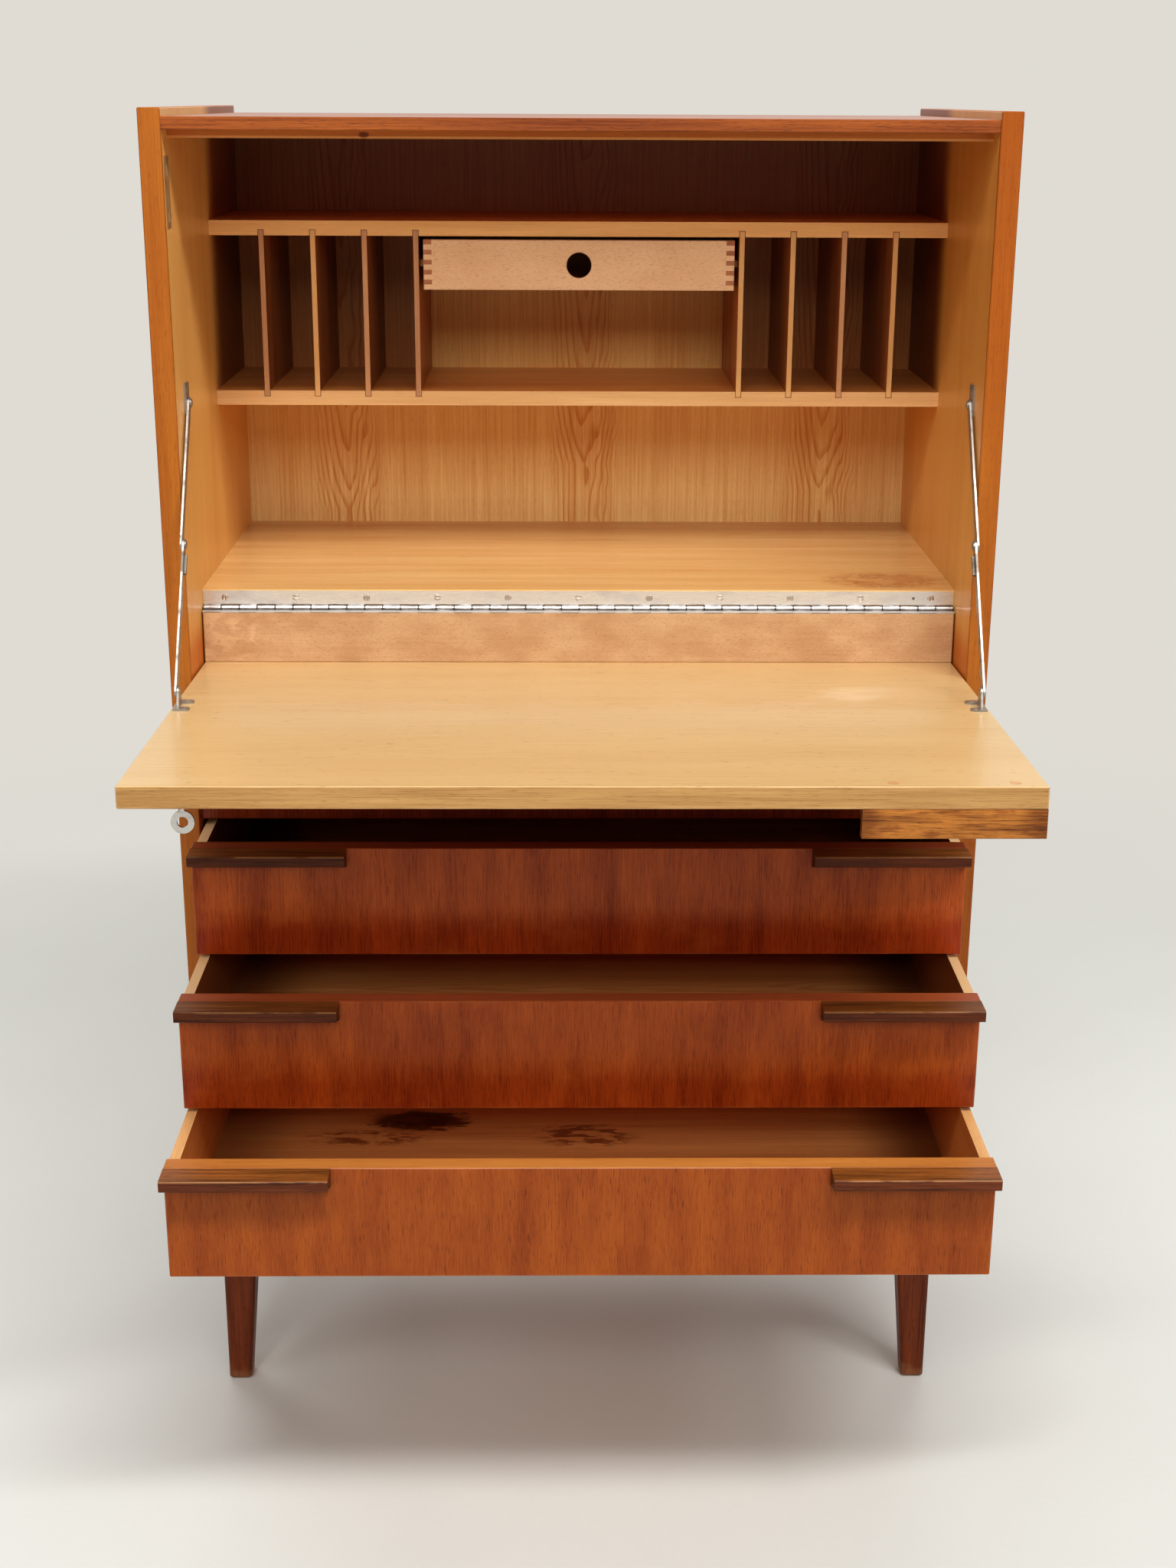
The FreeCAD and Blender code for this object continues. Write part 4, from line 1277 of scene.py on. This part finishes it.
@dataclass
class LargeDrawers:
    """Three wide drawers with lip handles.

    Args:
        knots: middles of the dark knots in the lowest drawer's floor, with their half lengths.
        cores: how dark the knots' hearts are.
        dusk: how strongly painted shade darkens a floor at its right end.
        dusk_reach: distances from an end at which the painted shade starts and is full.
    """

    knots: Tuple[Tuple[Triple, Triple], ...] = (
        ((-0.155, -0.05, 0.324), (0.056, 0.024, 0.02)),
        ((-0.205, -0.085, 0.324), (0.06, 0.016, 0.02)),
        ((0.006, -0.08, 0.324), (0.05, 0.026, 0.02)),
    )
    cores: Triple = (0.9, 0.0, 0.0)
    dusk: float = 0.88
    dusk_reach: Span = (100.0 * MM, 15.0 * MM)

    def front_finish(self, node: str, shade: FrontTone, seed: float) -> Any:
        """Red-brown upright veneer in bands, with its own top lipping, a pale back and painted shade low
        down.

        Args:
            node: name of the drawer's front.
            shade: its tones.
            seed: picks another leaf.

        Returns:
            The material.
        """
        low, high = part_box(node)
        dark, light, lip_dark, lip_light, foot_shade = shade.value
        veneer = Wood(dark, light, Axis.Z, Axis.X, band=0.026, bands=0.46, flow=7.0, streak=0.0009,
                      streaks=0.36, stretch=34.0, pores=0.55, rough=0.28, seed=seed)
        lipping = Wood(lip_dark, lip_light, Axis.X, Axis.Y, streak=0.0008, seed=seed + 9.0)
        tree = material_tree(node + "_veneer")
        place = Place(tree)
        mottle = tree.noise(place, (0.05, 0.02, 0.03), seed + 5.0, 3.0)
        height = (place.z - low.z) / (high.z - low.z) + (mottle - 0.5) * 0.12
        # Painted shade: the front darkens from its middle down to its foot, strongest on the two upper
        # drawers.
        layer = tree.stain(veneer.layer(tree, place), height.rise(0.5, 0.2) * foot_shade, FRONT_FOOT_PAINTED_SHADE)
        layer = tree.stain(layer, mottle.rise(0.5, 1.0), Stain(light, 0.2, Blend.COVER))
        worn = place.edge(low, high).rise(2.2 * MM, 0.3 * MM) * mottle.rise(0.3, 0.8)
        layer = tree.stain(layer, worn, FRONT_WEAR)
        layer = tree.over(layer, DRAWER_BACK.layer(tree, place), place.y.near(high.y))
        layer = tree.over(layer, lipping.layer(tree, place), place.z.near(high.z, 0.5 * MM))
        return tree.close(layer, coat=0.06, gloss=0.1)

    def floor_finish(self, node: str, shade: BoxTone) -> Any:
        """Brown veneered floor, knotty in the lowest drawer, with painted shade at both ends.

        Args:
            node: name of the drawer's bottom.
            shade: the inside's painted light and shade.

        Returns:
            The material.
        """
        tree = material_tree(node + "_veneer")
        place = Place(tree)
        low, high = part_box(node)
        # Painted shade: each floor darkens towards its left and right ends.
        left = (place.x - low.x).rise(*self.dusk_reach) * shade.value[2]
        right = (high.x - place.x).rise(*self.dusk_reach) * self.dusk
        layer = tree.stain(DRAWER_FLOOR.layer(tree, place), left + right, FLOOR_END_PAINTED_SHADE)
        knots = self.knots if shade is BoxTone.LOWER else ()
        for number, (centre, reach) in enumerate(knots):
            curl = tree.noise(place, (0.024, 0.007, 0.007), 70.0 + number, 4.0)
            out = place.patch(centre, reach) + (curl - 0.5) * 1.1
            blots = curl.rise(0.44, 0.58) * out.rise(1.25, 0.7)
            core = out.rise(0.9, 0.6) * self.cores[number]
            layer = tree.stain(layer, blots, KNOT_FIGURE)
            layer = tree.stain(layer, core.most(blots * 0.3), KNOT_CORE)
        return tree.close(layer, coat=0.1)

    def side_finish(self, node: str, shade: BoxTone) -> Any:
        """Drawer sides with painted light on the top edges and painted shade below them, deepest inside.

        Args:
            node: name of the drawer's sides.
            shade: the inside's painted light and shade.

        Returns:
            The material.
        """
        inside, pale, _ = shade.value
        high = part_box(node)[1]
        tree = material_tree(node + "_wood")
        place = Place(tree)
        edge = place.z.near(high.z, 0.6 * MM)
        below = 1.0 - edge
        inner = 1.0 - abs(place.x).near(high.x, 0.8 * MM, 0.4 * MM)
        # Painted shade below the top edge, deeper on the inner faces; painted light on the top edge of the
        # upper drawers.
        layer = tree.stain(DRAWER_SIDE.layer(tree, place), below, DRAWER_SIDE_PAINTED_SHADE)
        layer = tree.stain(layer, below * inner, Stain(inside))
        return tree.close(tree.stain(layer, edge * pale, DRAWER_EDGE_PAINTED_LIGHT), coat=0.05)

    def grip_finish(self, node: str) -> Any:
        """Dark handle: streaked top, near-black front and a worn line along the front's upper edge.

        Args:
            node: name of the drawer's handles.

        Returns:
            The material.
        """
        low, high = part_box(node)
        tree = material_tree(node + "_wood")
        place = Place(tree)
        top = place.z.near(high.z, 0.5 * MM)
        layer = tree.over(GRIP.layer(tree, place), GRIP_TOP.layer(tree, place), top)
        rub = tree.noise(place, (0.03, 0.01, 0.01), 41.0, 3.0)
        corner = (place.y - low.y).most(high.z - place.z)
        worn = corner.rise(1.6 * MM, 0.5 * MM) * rub.rise(0.2, 0.6)
        return tree.close(tree.stain(layer, worn, GRIP_WEAR), coat=0.03, gloss=0.1)

    def dress(self, shop: Workshop) -> None:
        """Finish the three drawers.

        Args:
            shop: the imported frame.
        """
        back = plain("drawer_back_wood", DRAWER_BACK, coat=0.05)
        for number, (shade, inside) in enumerate(zip(FrontTone, BoxTone), 1):
            stem = f"drawer_{number}"
            shop.dress(self.front_finish(stem + "_front", shade, 50.0 + number), stem + "_front")
            shop.dress(self.side_finish(stem + "_sides", inside), stem + "_sides")
            shop.dress(back, stem + "_back")
            shop.dress(self.floor_finish(stem + "_bottom", inside), stem + "_bottom")
            shop.dress(self.grip_finish(stem + "_handles"), stem + "_handles")


@dataclass
class Legs:
    """Four tapered legs.

    Args:
        scuff: height to which the feet are worn.
        rubbed: how far the worn timber shows.
    """

    scuff: float = 18.0 * MM
    rubbed: float = 0.55

    def dress(self, shop: Workshop) -> None:
        """Finish the legs: dark timber that is rubbed pale at the feet.

        Args:
            shop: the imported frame.
        """
        tree = material_tree("leg_wood")
        place = Place(tree)
        rub = tree.noise(place, (0.008, 0.008, 0.016), 42.0, 3.0)
        worn = (place.z + (rub - 0.5) * 0.02).rise(self.scuff, self.scuff * 0.2)
        layer = tree.over(LEG.layer(tree, place), LEG_WORN.layer(tree, place), worn * self.rubbed)
        legs = [f"leg_{end}_{side.word}" for end in ("front", "rear") for side in Side]
        shop.dress(tree.close(layer, coat=0.03, gloss=0.1), *legs)


@dataclass
class Fall:
    """Writing fall with its cleat, handle and screw plugs.

    Args:
        lipping: thickness of the solid edge round the fall.
        scuff: middle of the rubbed patch on the writing face, laid level.
        scuff_reach: half lengths of the rubbed patch.
        curl: middle of the cleat's curl, laid level.
        curl_reach: half lengths of the curl.
        grip_end: distances from the handle's ends at which their deeper tone starts and is full.
    """

    lipping: float = 3.0 * MM
    scuff: Triple = (0.2, -0.1, 0.766)
    scuff_reach: Triple = (0.12, 0.07, 0.02)
    curl: Triple = (-0.335, 0.0, 0.8)
    curl_reach: Triple = (0.034, 1.0, 0.05)
    grip_end: Span = (22.0 * MM, 2.0 * MM)

    def panel_finish(self, shop: Workshop) -> Any:
        """Pale writing face, gold-brown edges and a red-brown outer face.

        Args:
            shop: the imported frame.

        Returns:
            The material.
        """
        low, high = shop.level_box("fall_panel")
        tree = material_tree("fall_veneer")
        place = shop.fall_place(tree)
        inner = place.z.near(high[2], 0.5 * MM, 0.25 * MM)
        outer = place.z.near(low[2], 0.5 * MM, 0.25 * MM)
        flecks = tree.noise(place, (0.012, 0.0022, 0.0022), 43.0, 1.0).rise(0.86, 0.98)
        face = tree.stain(FALL_FACE.layer(tree, place), flecks, FALL_FLECK)
        rubs = tree.noise(place, (0.11, 0.06, 0.06), 44.0, 4.0)
        scuff = place.patch(self.scuff, self.scuff_reach).rise(1.2, 0.3) * rubs.rise(0.35, 0.85)
        face = tree.stain(face, scuff, FALL_SCUFF)
        face.rough = face.rough + rubs.rise(0.55, 0.9) * 0.14
        face = tree.stain(face, place.y.near(low[1] + self.lipping, 0.5 * MM), FALL_SEAM)
        layer = tree.over(FALL_EDGE.layer(tree, place), face, inner)
        layer = tree.over(layer, FALL_OUTER.layer(tree, place), outer)
        worn = place.edge(low, high).rise(1.6 * MM, 0.3 * MM) * rubs.rise(0.2, 0.7)
        return tree.close(tree.stain(layer, worn, FALL_WEAR), coat=0.35, haze=0.16)

    def cleat_finish(self, shop: Workshop) -> Any:
        """Flecked board under the hinge, with a curl in the grain near its left end.

        Args:
            shop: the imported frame.

        Returns:
            The material.
        """
        tree = material_tree("cleat_beech")
        place = shop.fall_place(tree)
        bend = tree.noise(place, (0.02, 0.02, 0.012), 47.0, 3.0)
        out = place.patch(self.curl, self.curl_reach) + (bend - 0.5) * 0.7
        arcs = (out * 2.0).part().rise(0.3, 0.8) * out.rise(1.5, 0.8) * bend.rise(0.2, 0.7)
        return tree.close(tree.stain(CLEAT.layer(tree, place), arcs, CLEAT_CURL), coat=0.12)

    def handle_finish(self, shop: Workshop) -> Any:
        """Figured handle on the fall's outer face, deeper at its ends.

        Args:
            shop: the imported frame.

        Returns:
            The material.
        """
        low, high = shop.level_box("fall_handle")
        tree = material_tree("fall_handle_wood")
        place = shop.fall_place(tree)
        wave = tree.noise(place, (0.02, 0.006, 0.006), 45.0, 3.0)
        layer = tree.stain(FALL_GRIP.layer(tree, place), wave.rise(0.5, 0.8), FALL_GRIP_FIGURE)
        end = (place.x - low[0]).least(high[0] - place.x) + (wave - 0.5) * 0.016
        return tree.close(tree.stain(layer, end.rise(*self.grip_end), FALL_GRIP_END), coat=0.12)

    def dress(self, shop: Workshop) -> None:
        """Finish the fall.

        Args:
            shop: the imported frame.
        """
        shop.dress(self.panel_finish(shop), "fall_panel")
        shop.dress(self.cleat_finish(shop), "fall_cleat")
        shop.dress(self.handle_finish(shop), "fall_handle")
        tree = material_tree("plug_beech")
        shop.dress(tree.close(PLUG.layer(tree, shop.fall_place(tree)), coat=0.2), "fall_handle_plugs")


@dataclass
class Hinge:
    """Long hinge with the screws of its upright leaf.

    Args:
        knuckles: number of knuckles of both leaves.
        barrel: distances from the pin's axis at which the barrel's own marks end and are full.
        notch: distance of the leaves' notches above and below the axis.
        notch_reach: distances from a notch's middle at which its shade ends and is full.
        leaf: thickness of the upright leaf.
        screws: number of screws.
        pitch: spacing of the screws.
        first: place of the leftmost screw.
        lift: height of the screws above the hinge line.
        head: radius of a screw head.
        crown: height of a screw head.
        slot: depth of a screw's slot.
        old_hole: place of a filled screw hole in the upright leaf.
        old_hole_size: radius of the filled hole.
    """

    knuckles: int = 42
    barrel: Span = (3.2 * MM, 2.8 * MM)
    notch: float = 2.55 * MM
    notch_reach: Span = (0.85 * MM, 0.45 * MM)
    leaf: float = 1.4 * MM
    screws: int = 11
    pitch: float = 66.8 * MM
    first: float = -334.6 * MM
    lift: float = 9.5 * MM
    head: float = 3.2 * MM
    crown: float = 0.5 * MM
    slot: float = 0.35 * MM
    old_hole: float = 317.0 * MM
    old_hole_size: float = 1.7 * MM

    def finish(self, shop: Workshop) -> Any:
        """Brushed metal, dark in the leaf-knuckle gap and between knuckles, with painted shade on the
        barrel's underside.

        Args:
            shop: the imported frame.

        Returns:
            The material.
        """
        y, z = shop.hinge_line()[1:]
        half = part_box("hinge_fixed_leaf")[1].x
        tree = material_tree("hinge_nickel")
        place = Place(tree)
        above = place.z - z
        away = ((place.y - y) * (place.y - y) + above * above).root()
        barrel = away.rise(*self.barrel)
        dirt = tree.noise(place, (0.01, 0.003, 0.003), 46.0, 3.0)
        gap = away.rise(4.2 * MM, 3.0 * MM) * away.rise(2.1 * MM, 2.5 * MM)
        layer = tree.stain(HINGE_METAL.layer(tree, place), gap * dirt.rise(0.2, 0.8), HINGE_DIRT)
        layer = tree.stain(layer, dirt.rise(0.8, 0.95) * away.rise(8.0 * MM, 3.0 * MM), HINGE_RUST)
        count = (place.x + half) * (self.knuckles / (2.0 * half))
        step = count.part()
        joint = step.rise(0.07, 0.02).most(step.rise(0.93, 0.98)) * barrel
        layer = tree.stain(layer, joint, KNUCKLE_JOINT)
        odd = (count * 0.5).part().rise(0.49, 0.51)
        upper = odd * above.near(self.notch, *self.notch_reach)
        lower = (1.0 - odd) * above.near(-self.notch, *self.notch_reach)
        layer = tree.stain(layer, upper.most(lower), KNUCKLE_NOTCH)
        # Painted shade: the barrel darkens below the hinge line.
        layer = tree.stain(layer, barrel * above.rise(1.2 * MM, -0.4 * MM), BARREL_PAINTED_SHADE)
        hole = place.patch((self.old_hole, y, z + self.lift), (self.old_hole_size, 0.02, self.old_hole_size))
        layer = tree.stain(layer, hole.rise(1.0, 0.7), FILLED_HOLE)
        return tree.close(layer, metallic=0.85, relief=0.04 * MM)

    def dress(self, shop: Workshop) -> None:
        """Finish the hinge and set its screws.

        Args:
            shop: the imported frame.
        """
        shop.dress(self.finish(shop), "hinge_fixed_leaf", "hinge_fall_leaf", "hinge_pin")
        hinge = shop.hinge_line()
        leaf_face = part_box("desk_floor")[0].y - self.leaf
        x = self.first + self.pitch * np.arange(self.screws)
        places = np.stack([x, np.full_like(x, leaf_face), np.full_like(x, hinge[2] + self.lift)], axis=-1)
        head = Shape.screw_head(self.head, self.crown, self.slot)
        heads = Shape.repeated(head, places, (0.0, -1.0, 0.0), x * 71.0)
        steel = plain("hinge_screw_steel", SCREW_METAL, metallic=1.0, relief=0.03 * MM)
        shop.add("hinge_screws", heads, steel, "carcass", "hinge_metal")


@dataclass
class Stays:
    """Folding stays, with rivet domes and bracket screws.

    Args:
        rivet: radius of a rivet dome.
        crown: height of a rivet dome.
        screw: radius of a bracket screw's head.
        plate_crown: height of a side plate's screw head.
        foot_crown: height of a foot's screw head.
        slot: depth of a screw's slot.
        space: gap between plates that turn on each other.
        head: thickness of the flat head that a dome sits on.
        screw_drop: how far the side plate's screw lies below the plate's top.
        tab: width of a foot's round tab.
        tab_reach: distance from the middle plane beyond which a foot is its strip, not its tabs.
        lug: distance of a lower link's lug from the middle pivot.
        lug_reach: radius of the dull patch round the lug.
    """

    rivet: float = 3.3 * MM
    crown: float = 0.9 * MM
    screw: float = 2.8 * MM
    plate_crown: float = 0.6 * MM
    foot_crown: float = 0.5 * MM
    slot: float = 0.4 * MM
    space: float = 0.3 * MM
    head: float = 1.0 * MM
    screw_drop: float = 6.5 * MM
    tab: float = 9.0 * MM
    tab_reach: float = 340.0 * MM
    lug: float = 18.0 * MM
    lug_reach: float = 11.7 * MM

    def pivots(self, shop: Workshop, side: Side) -> Tuple[np.ndarray, np.ndarray, np.ndarray]:
        """Upper, middle and lower pivot of one stay."""
        upper, lower = (shop.joint(f"stay_{side.word}_{end}")["pos_m"] for end in ("upper", "lower"))
        return np.array(upper), (np.array(upper) + np.array(lower)) / 2, np.array(lower)

    def finish(self, shop: Workshop) -> Any:
        """Plated steel that is duller on the lower links' lugs.

        Args:
            shop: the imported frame.

        Returns:
            The material.
        """
        _, middle, lower = self.pivots(shop, Side.LEFT)
        spot = middle + (lower - middle) / np.linalg.norm(lower - middle) * self.lug
        tree = material_tree("stay_nickel")
        place = Place(tree)
        dull = place.patch((0.0, spot[1], spot[2]), (1.0, self.lug_reach, self.lug_reach)).rise(1.1, 0.9)
        layer = tree.stain(STAY_METAL.layer(tree, place), dull, LUG_DULL)
        return tree.close(layer, metallic=0.9, relief=0.03 * MM)

    def dress(self, shop: Workshop) -> None:
        """Finish the stays, cap their pivots and screw down their brackets.

        Args:
            shop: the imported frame.
        """
        metal = self.finish(shop)
        links = [f"stay_{part}_link_{side.word}" for part in ("upper", "lower") for side in Side]
        shop.dress(metal, "stay_side_brackets", "stay_fall_brackets", *links)
        steel = plain("stay_screw_steel", SCREW_METAL, metallic=0.9, relief=0.03 * MM)
        for side in Side:
            self.cap_pivots(shop, side, metal)
            self.screw_plate(shop, side, steel)
            self.screw_foot(shop, side, steel)

    def cap_pivots(self, shop: Workshop, side: Side, metal: Any) -> None:
        """Rivet domes on the inner end of each pivot of one stay.

        Args:
            shop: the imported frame.
            side: which stay.
            metal: their finish.
        """
        upper, middle, lower = self.pivots(shop, side)
        low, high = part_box(f"stay_upper_link_{side.word}")
        plate = high.x - low.x
        upper_plane = min(abs(low.x), abs(high.x))
        lower_plane = upper_plane - self.space - plate
        dome = Shape.dome(self.rivet, self.crown)
        spots = (
            ("side", "carcass", upper_plane - self.space / 2 - self.head, upper),
            ("middle", f"lower_link_{side.word}", lower_plane - self.head, middle),
            ("foot", "fall", lower_plane - self.space - plate, lower),
        )
        for name, body, plane, spot in spots:
            place = np.array([[side.value * plane, spot[1], spot[2]]])
            cap = Shape.repeated(dome, place, (-side.value, 0.0, 0.0), np.zeros(1))
            shop.add(f"stay_{name}_rivet_{side.word}", cap, metal, body, "stay_metal")

    def screw_plate(self, shop: Workshop, side: Side, steel: Any) -> None:
        """Screw of one side plate, above the pivot.

        Args:
            shop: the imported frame.
            side: which stay.
            steel: its finish.
        """
        head = Shape.screw_head(self.screw, self.plate_crown, self.slot)
        low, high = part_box("stay_side_brackets")
        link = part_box(f"stay_upper_link_{side.word}")
        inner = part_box("right_side")[0].x - (link[1].x - link[0].x)
        place = np.array([[side.value * inner, (low.y + high.y) / 2, high.z - self.screw_drop]])
        heads = Shape.repeated(head, place, (-side.value, 0.0, 0.0), np.array([0.6 * side.value]))
        shop.add(f"stay_plate_screw_{side.word}", heads, steel, "carcass", "stay_metal")

    def screw_foot(self, shop: Workshop, side: Side, steel: Any) -> None:
        """Screws in the two round tabs of one foot.

        Args:
            shop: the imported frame.
            side: which stay.
            steel: their finish.
        """
        head = Shape.screw_head(self.screw, self.foot_crown, self.slot)
        points = shop.level_points("stay_fall_brackets")
        beside = side.value * points[:, 0]
        tabs = points[(beside > 0.0) & (beside < self.tab_reach)]
        low, high = tabs.min(axis=0), tabs.max(axis=0)
        x = side.value * (np.abs(tabs[:, 0]).min() + self.tab / 2)
        level = np.array([[x, y, high[2]] for y in (low[1] + self.tab / 2, high[1] - self.tab / 2)])
        turn = np.array(shop.fall_matrix())
        places = level @ turn[:3, :3].T + turn[:3, 3]
        heads = Shape.repeated(head, places, tuple(turn[:3, 2]), np.array([0.5, 1.4]) * side.value)
        shop.add(f"stay_foot_screws_{side.word}", heads, steel, "fall", "stay_metal")


@dataclass
class Lock:
    """Lock in the fall's left edge, with its keep and key.

    Args:
        screw: radius of a keep screw's head.
        crown: height of a keep screw's head.
        slot: depth of its slot.
        inset: distance of the screws from the keep's ends.
    """

    screw: float = 2.6 * MM
    crown: float = 0.4 * MM
    slot: float = 0.3 * MM
    inset: float = 3.4 * MM

    def dress(self, shop: Workshop) -> None:
        """Finish the lock, keep and key, and screw the keep down.

        Args:
            shop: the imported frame.
        """
        shop.dress(plain("lock_nickel", LOCK_METAL, metallic=1.0, relief=0.04 * MM), "lock_case", "lock_bolt")
        shop.dress(plain("keep_nickel", KEEP_METAL, metallic=0.35, relief=0.04 * MM), "lock_keep")
        shop.dress(plain("key_nickel", KEY_METAL, metallic=1.0, relief=0.04 * MM), "key")
        low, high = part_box("lock_keep")
        z = np.array([low.z + self.inset, high.z - self.inset])
        places = np.stack([np.full(2, high.x), np.full(2, (low.y + high.y) / 2), z], axis=-1)
        head = Shape.screw_head(self.screw, self.crown, self.slot)
        heads = Shape.repeated(head, places, (1.0, 0.0, 0.0), np.array([0.4, 1.2]))
        steel = plain("keep_screw_steel", SCREW_METAL, metallic=1.0, relief=0.03 * MM)
        shop.add("keep_screws", heads, steel, "carcass", "lock_metal")


@dataclass(frozen=True)
class Lamp:
    """A soft rectangular lamp.

    Args:
        name: name of the lamp.
        place: where it hangs.
        aim: point that it faces.
        size: width and height.
        power: watts.
        tint: colour of its light.
    """

    name: str
    place: Triple
    aim: Triple
    size: Span
    power: float
    tint: Triple = (1.0, 0.98, 0.95)

    def hang(self) -> None:
        """Add the lamp to the scene."""
        light = bpy.data.lights.new(self.name, "AREA")
        light.shape = "RECTANGLE"
        light.size, light.size_y = self.size
        light.energy = self.power
        light.color = self.tint
        facing = Vector(self.aim) - Vector(self.place)
        turn = facing.to_track_quat("-Z", "Y").to_matrix().to_4x4()
        linked(self.name, light).matrix_world = Matrix.Translation(self.place) @ turn
        LOG.info("hung %s", self.name)


@dataclass
class Studio:
    """Pale floor, pale surround, soft lamps and the camera.

    Args:
        backdrop: colour of the surround.
        floor: colour of the floor.
        floor_cloud: colour of the floor's clouds.
        ambient_tint: colour of the light from all round.
        ambient: strength of the light from all round.
        reach: radius of the floor.
        thickness: thickness of the floor.
        fade: radii between which the floor turns into the surround.
        eye: camera's place.
        heading: camera's turn to the right, in degrees.
        pitch: camera's dip below level, in degrees.
        roll: camera's roll, in degrees.
        lens: focal length in millimetres.
        film: width of the camera's frame in millimetres.
        lamps: the lamps.
    """

    backdrop: Colour = tone(224, 220, 212)
    floor: Colour = tone(223, 225, 222)
    floor_cloud: Colour = tone(211, 213, 209)
    ambient_tint: Colour = (1.0, 0.985, 0.96, 1.0)
    ambient: float = 0.15
    reach: float = 14.0
    thickness: float = 0.02
    fade: Span = (1.2, 2.6)
    eye: Triple = (-0.01785, -1.88363, 1.27606)
    heading: float = 0.8025
    pitch: float = 18.2581
    roll: float = 0.282
    lens: float = 47.823
    film: float = 36.0
    lamps: Tuple[Lamp, ...] = (
        Lamp("high_strip", (0.5, -1.85, 3.5), (0.0, 0.0, 0.8), (3.0, 0.25), 119.0),
        Lamp("far_strip", (0.1, -3.9, 2.9), (0.0, 0.0, 0.8), (4.4, 1.2), 69.0),
        Lamp("left_window", (-2.8, -1.8, 2.6), (0.0, 0.0, 0.8), (1.8, 1.2), 15.0),
        Lamp("right_window", (2.6, -1.8, 3.4), (0.0, 0.0, 0.8), (1.4, 0.5), 16.0),
        Lamp("rear_strip", (-0.4, 2.4, 3.1), (0.0, 0.5, 0.2), (4.0, 1.0), 64.0),
    )

    def seen_plainly(self, tree: Tree) -> Value:
        """Tell the rays that show the surround from those that only carry its light.

        Args:
            tree: nodes of the floor or the world.

        Returns:
            1 for rays from the camera, a mirror or a clear piece.
        """
        path = tree.node("ShaderNodeLightPath", {}, {})
        names = ("Is Camera Ray", "Is Glossy Ray", "Is Transmission Ray")
        camera, glossy, clear = (Value(tree, path.outputs[name]) for name in names)
        return camera.most(glossy).most(clear)

    def floor_finish(self) -> Any:
        """Faintly clouded paint that fades into the surround.

        Returns:
            The material.
        """
        tree = material_tree("floor_paint")
        place = Place(tree)
        clouds = tree.noise(place, (0.5, 0.5, 0.5), 60.0, 5.0)
        dust = tree.noise(place, (0.006, 0.006, 0.006), 61.0, 2.0)
        colour = tree.mix(clouds * 0.6 + dust * 0.15, self.floor_cloud, self.floor)
        sockets = {"Base Color": colour, "Roughness": 0.62 + clouds * 0.1}
        surface = tree.node("ShaderNodeBsdfPrincipled", {}, sockets)
        glow = tree.node("ShaderNodeEmission", {}, {"Color": self.backdrop, "Strength": 1.0})
        away = (place.x * place.x + place.y * place.y).root().rise(*self.fade)
        share = away * self.seen_plainly(tree)
        both = tree.node("ShaderNodeMixShader", {}, {0: share, 1: surface.outputs[0], 2: glow.outputs[0]})
        tree.node("ShaderNodeOutputMaterial", {}, {"Surface": both.outputs[0]})
        return tree.owner

    def lay_floor(self) -> None:
        """Round floor: points (r cos a, r sin a, 0) on rings that widen outwards, closed below."""
        ring = np.concatenate([[0.0], np.geomspace(0.4, self.reach, 14), [self.reach * 0.99, 0.0]])
        drop = np.concatenate([np.zeros(15), [-self.thickness, -self.thickness]])
        shape = Shape.revolved(ring, drop, 72)
        floor = linked("studio_floor", mesh_of("studio_floor", shape, self.floor_finish()))
        LOG.info("laid the floor")

    def light(self) -> None:
        """Even light from all round, shown as the plain surround, and the lamps."""
        world = bpy.data.worlds.new("studio")
        bpy.context.scene.world = world
        tree = Tree(world)
        shown = tree.node("ShaderNodeBackground", {}, {"Color": self.backdrop, "Strength": 1.0})
        lit = tree.node("ShaderNodeBackground", {}, {"Color": self.ambient_tint, "Strength": self.ambient})
        sockets = {0: self.seen_plainly(tree), 1: lit.outputs[0], 2: shown.outputs[0]}
        both = tree.node("ShaderNodeMixShader", {}, sockets)
        tree.node("ShaderNodeOutputWorld", {}, {"Surface": both.outputs[0]})
        for lamp in self.lamps:
            lamp.hang()

    def set_camera(self) -> None:
        """Camera at the photograph's viewpoint."""
        lens = bpy.data.cameras.new("viewpoint")
        lens.sensor_fit = "AUTO"
        lens.sensor_width = self.film
        lens.lens = self.lens
        lens.clip_start = 0.05
        camera = linked("viewpoint", lens)
        turn = Matrix.Rotation(-math.radians(self.heading), 4, "Z")
        dip = Matrix.Rotation(math.radians(90.0 - self.pitch), 4, "X")
        roll = Matrix.Rotation(math.radians(self.roll), 4, "Z")
        camera.matrix_world = Matrix.Translation(self.eye) @ turn @ dip @ roll
        bpy.context.scene.camera = camera

    def build(self) -> None:
        """Set up the whole studio."""
        bpy.context.scene.view_settings.view_transform = "Standard"
        self.lay_floor()
        self.light()
        self.set_camera()


def main() -> None:
    """Load the frame, dress every node, add the fittings and set the studio."""
    logging.basicConfig(level=logging.INFO, format="%(name)s: %(message)s")
    shop = Workshop(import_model())
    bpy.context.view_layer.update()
    for assembly in (Carcass, Pigeonholes, SmallDrawer, LargeDrawers, Legs, Fall, Hinge, Stays, Lock):
        assembly().dress(shop)
    Studio().build()


if __name__ == "__main__":
    main()
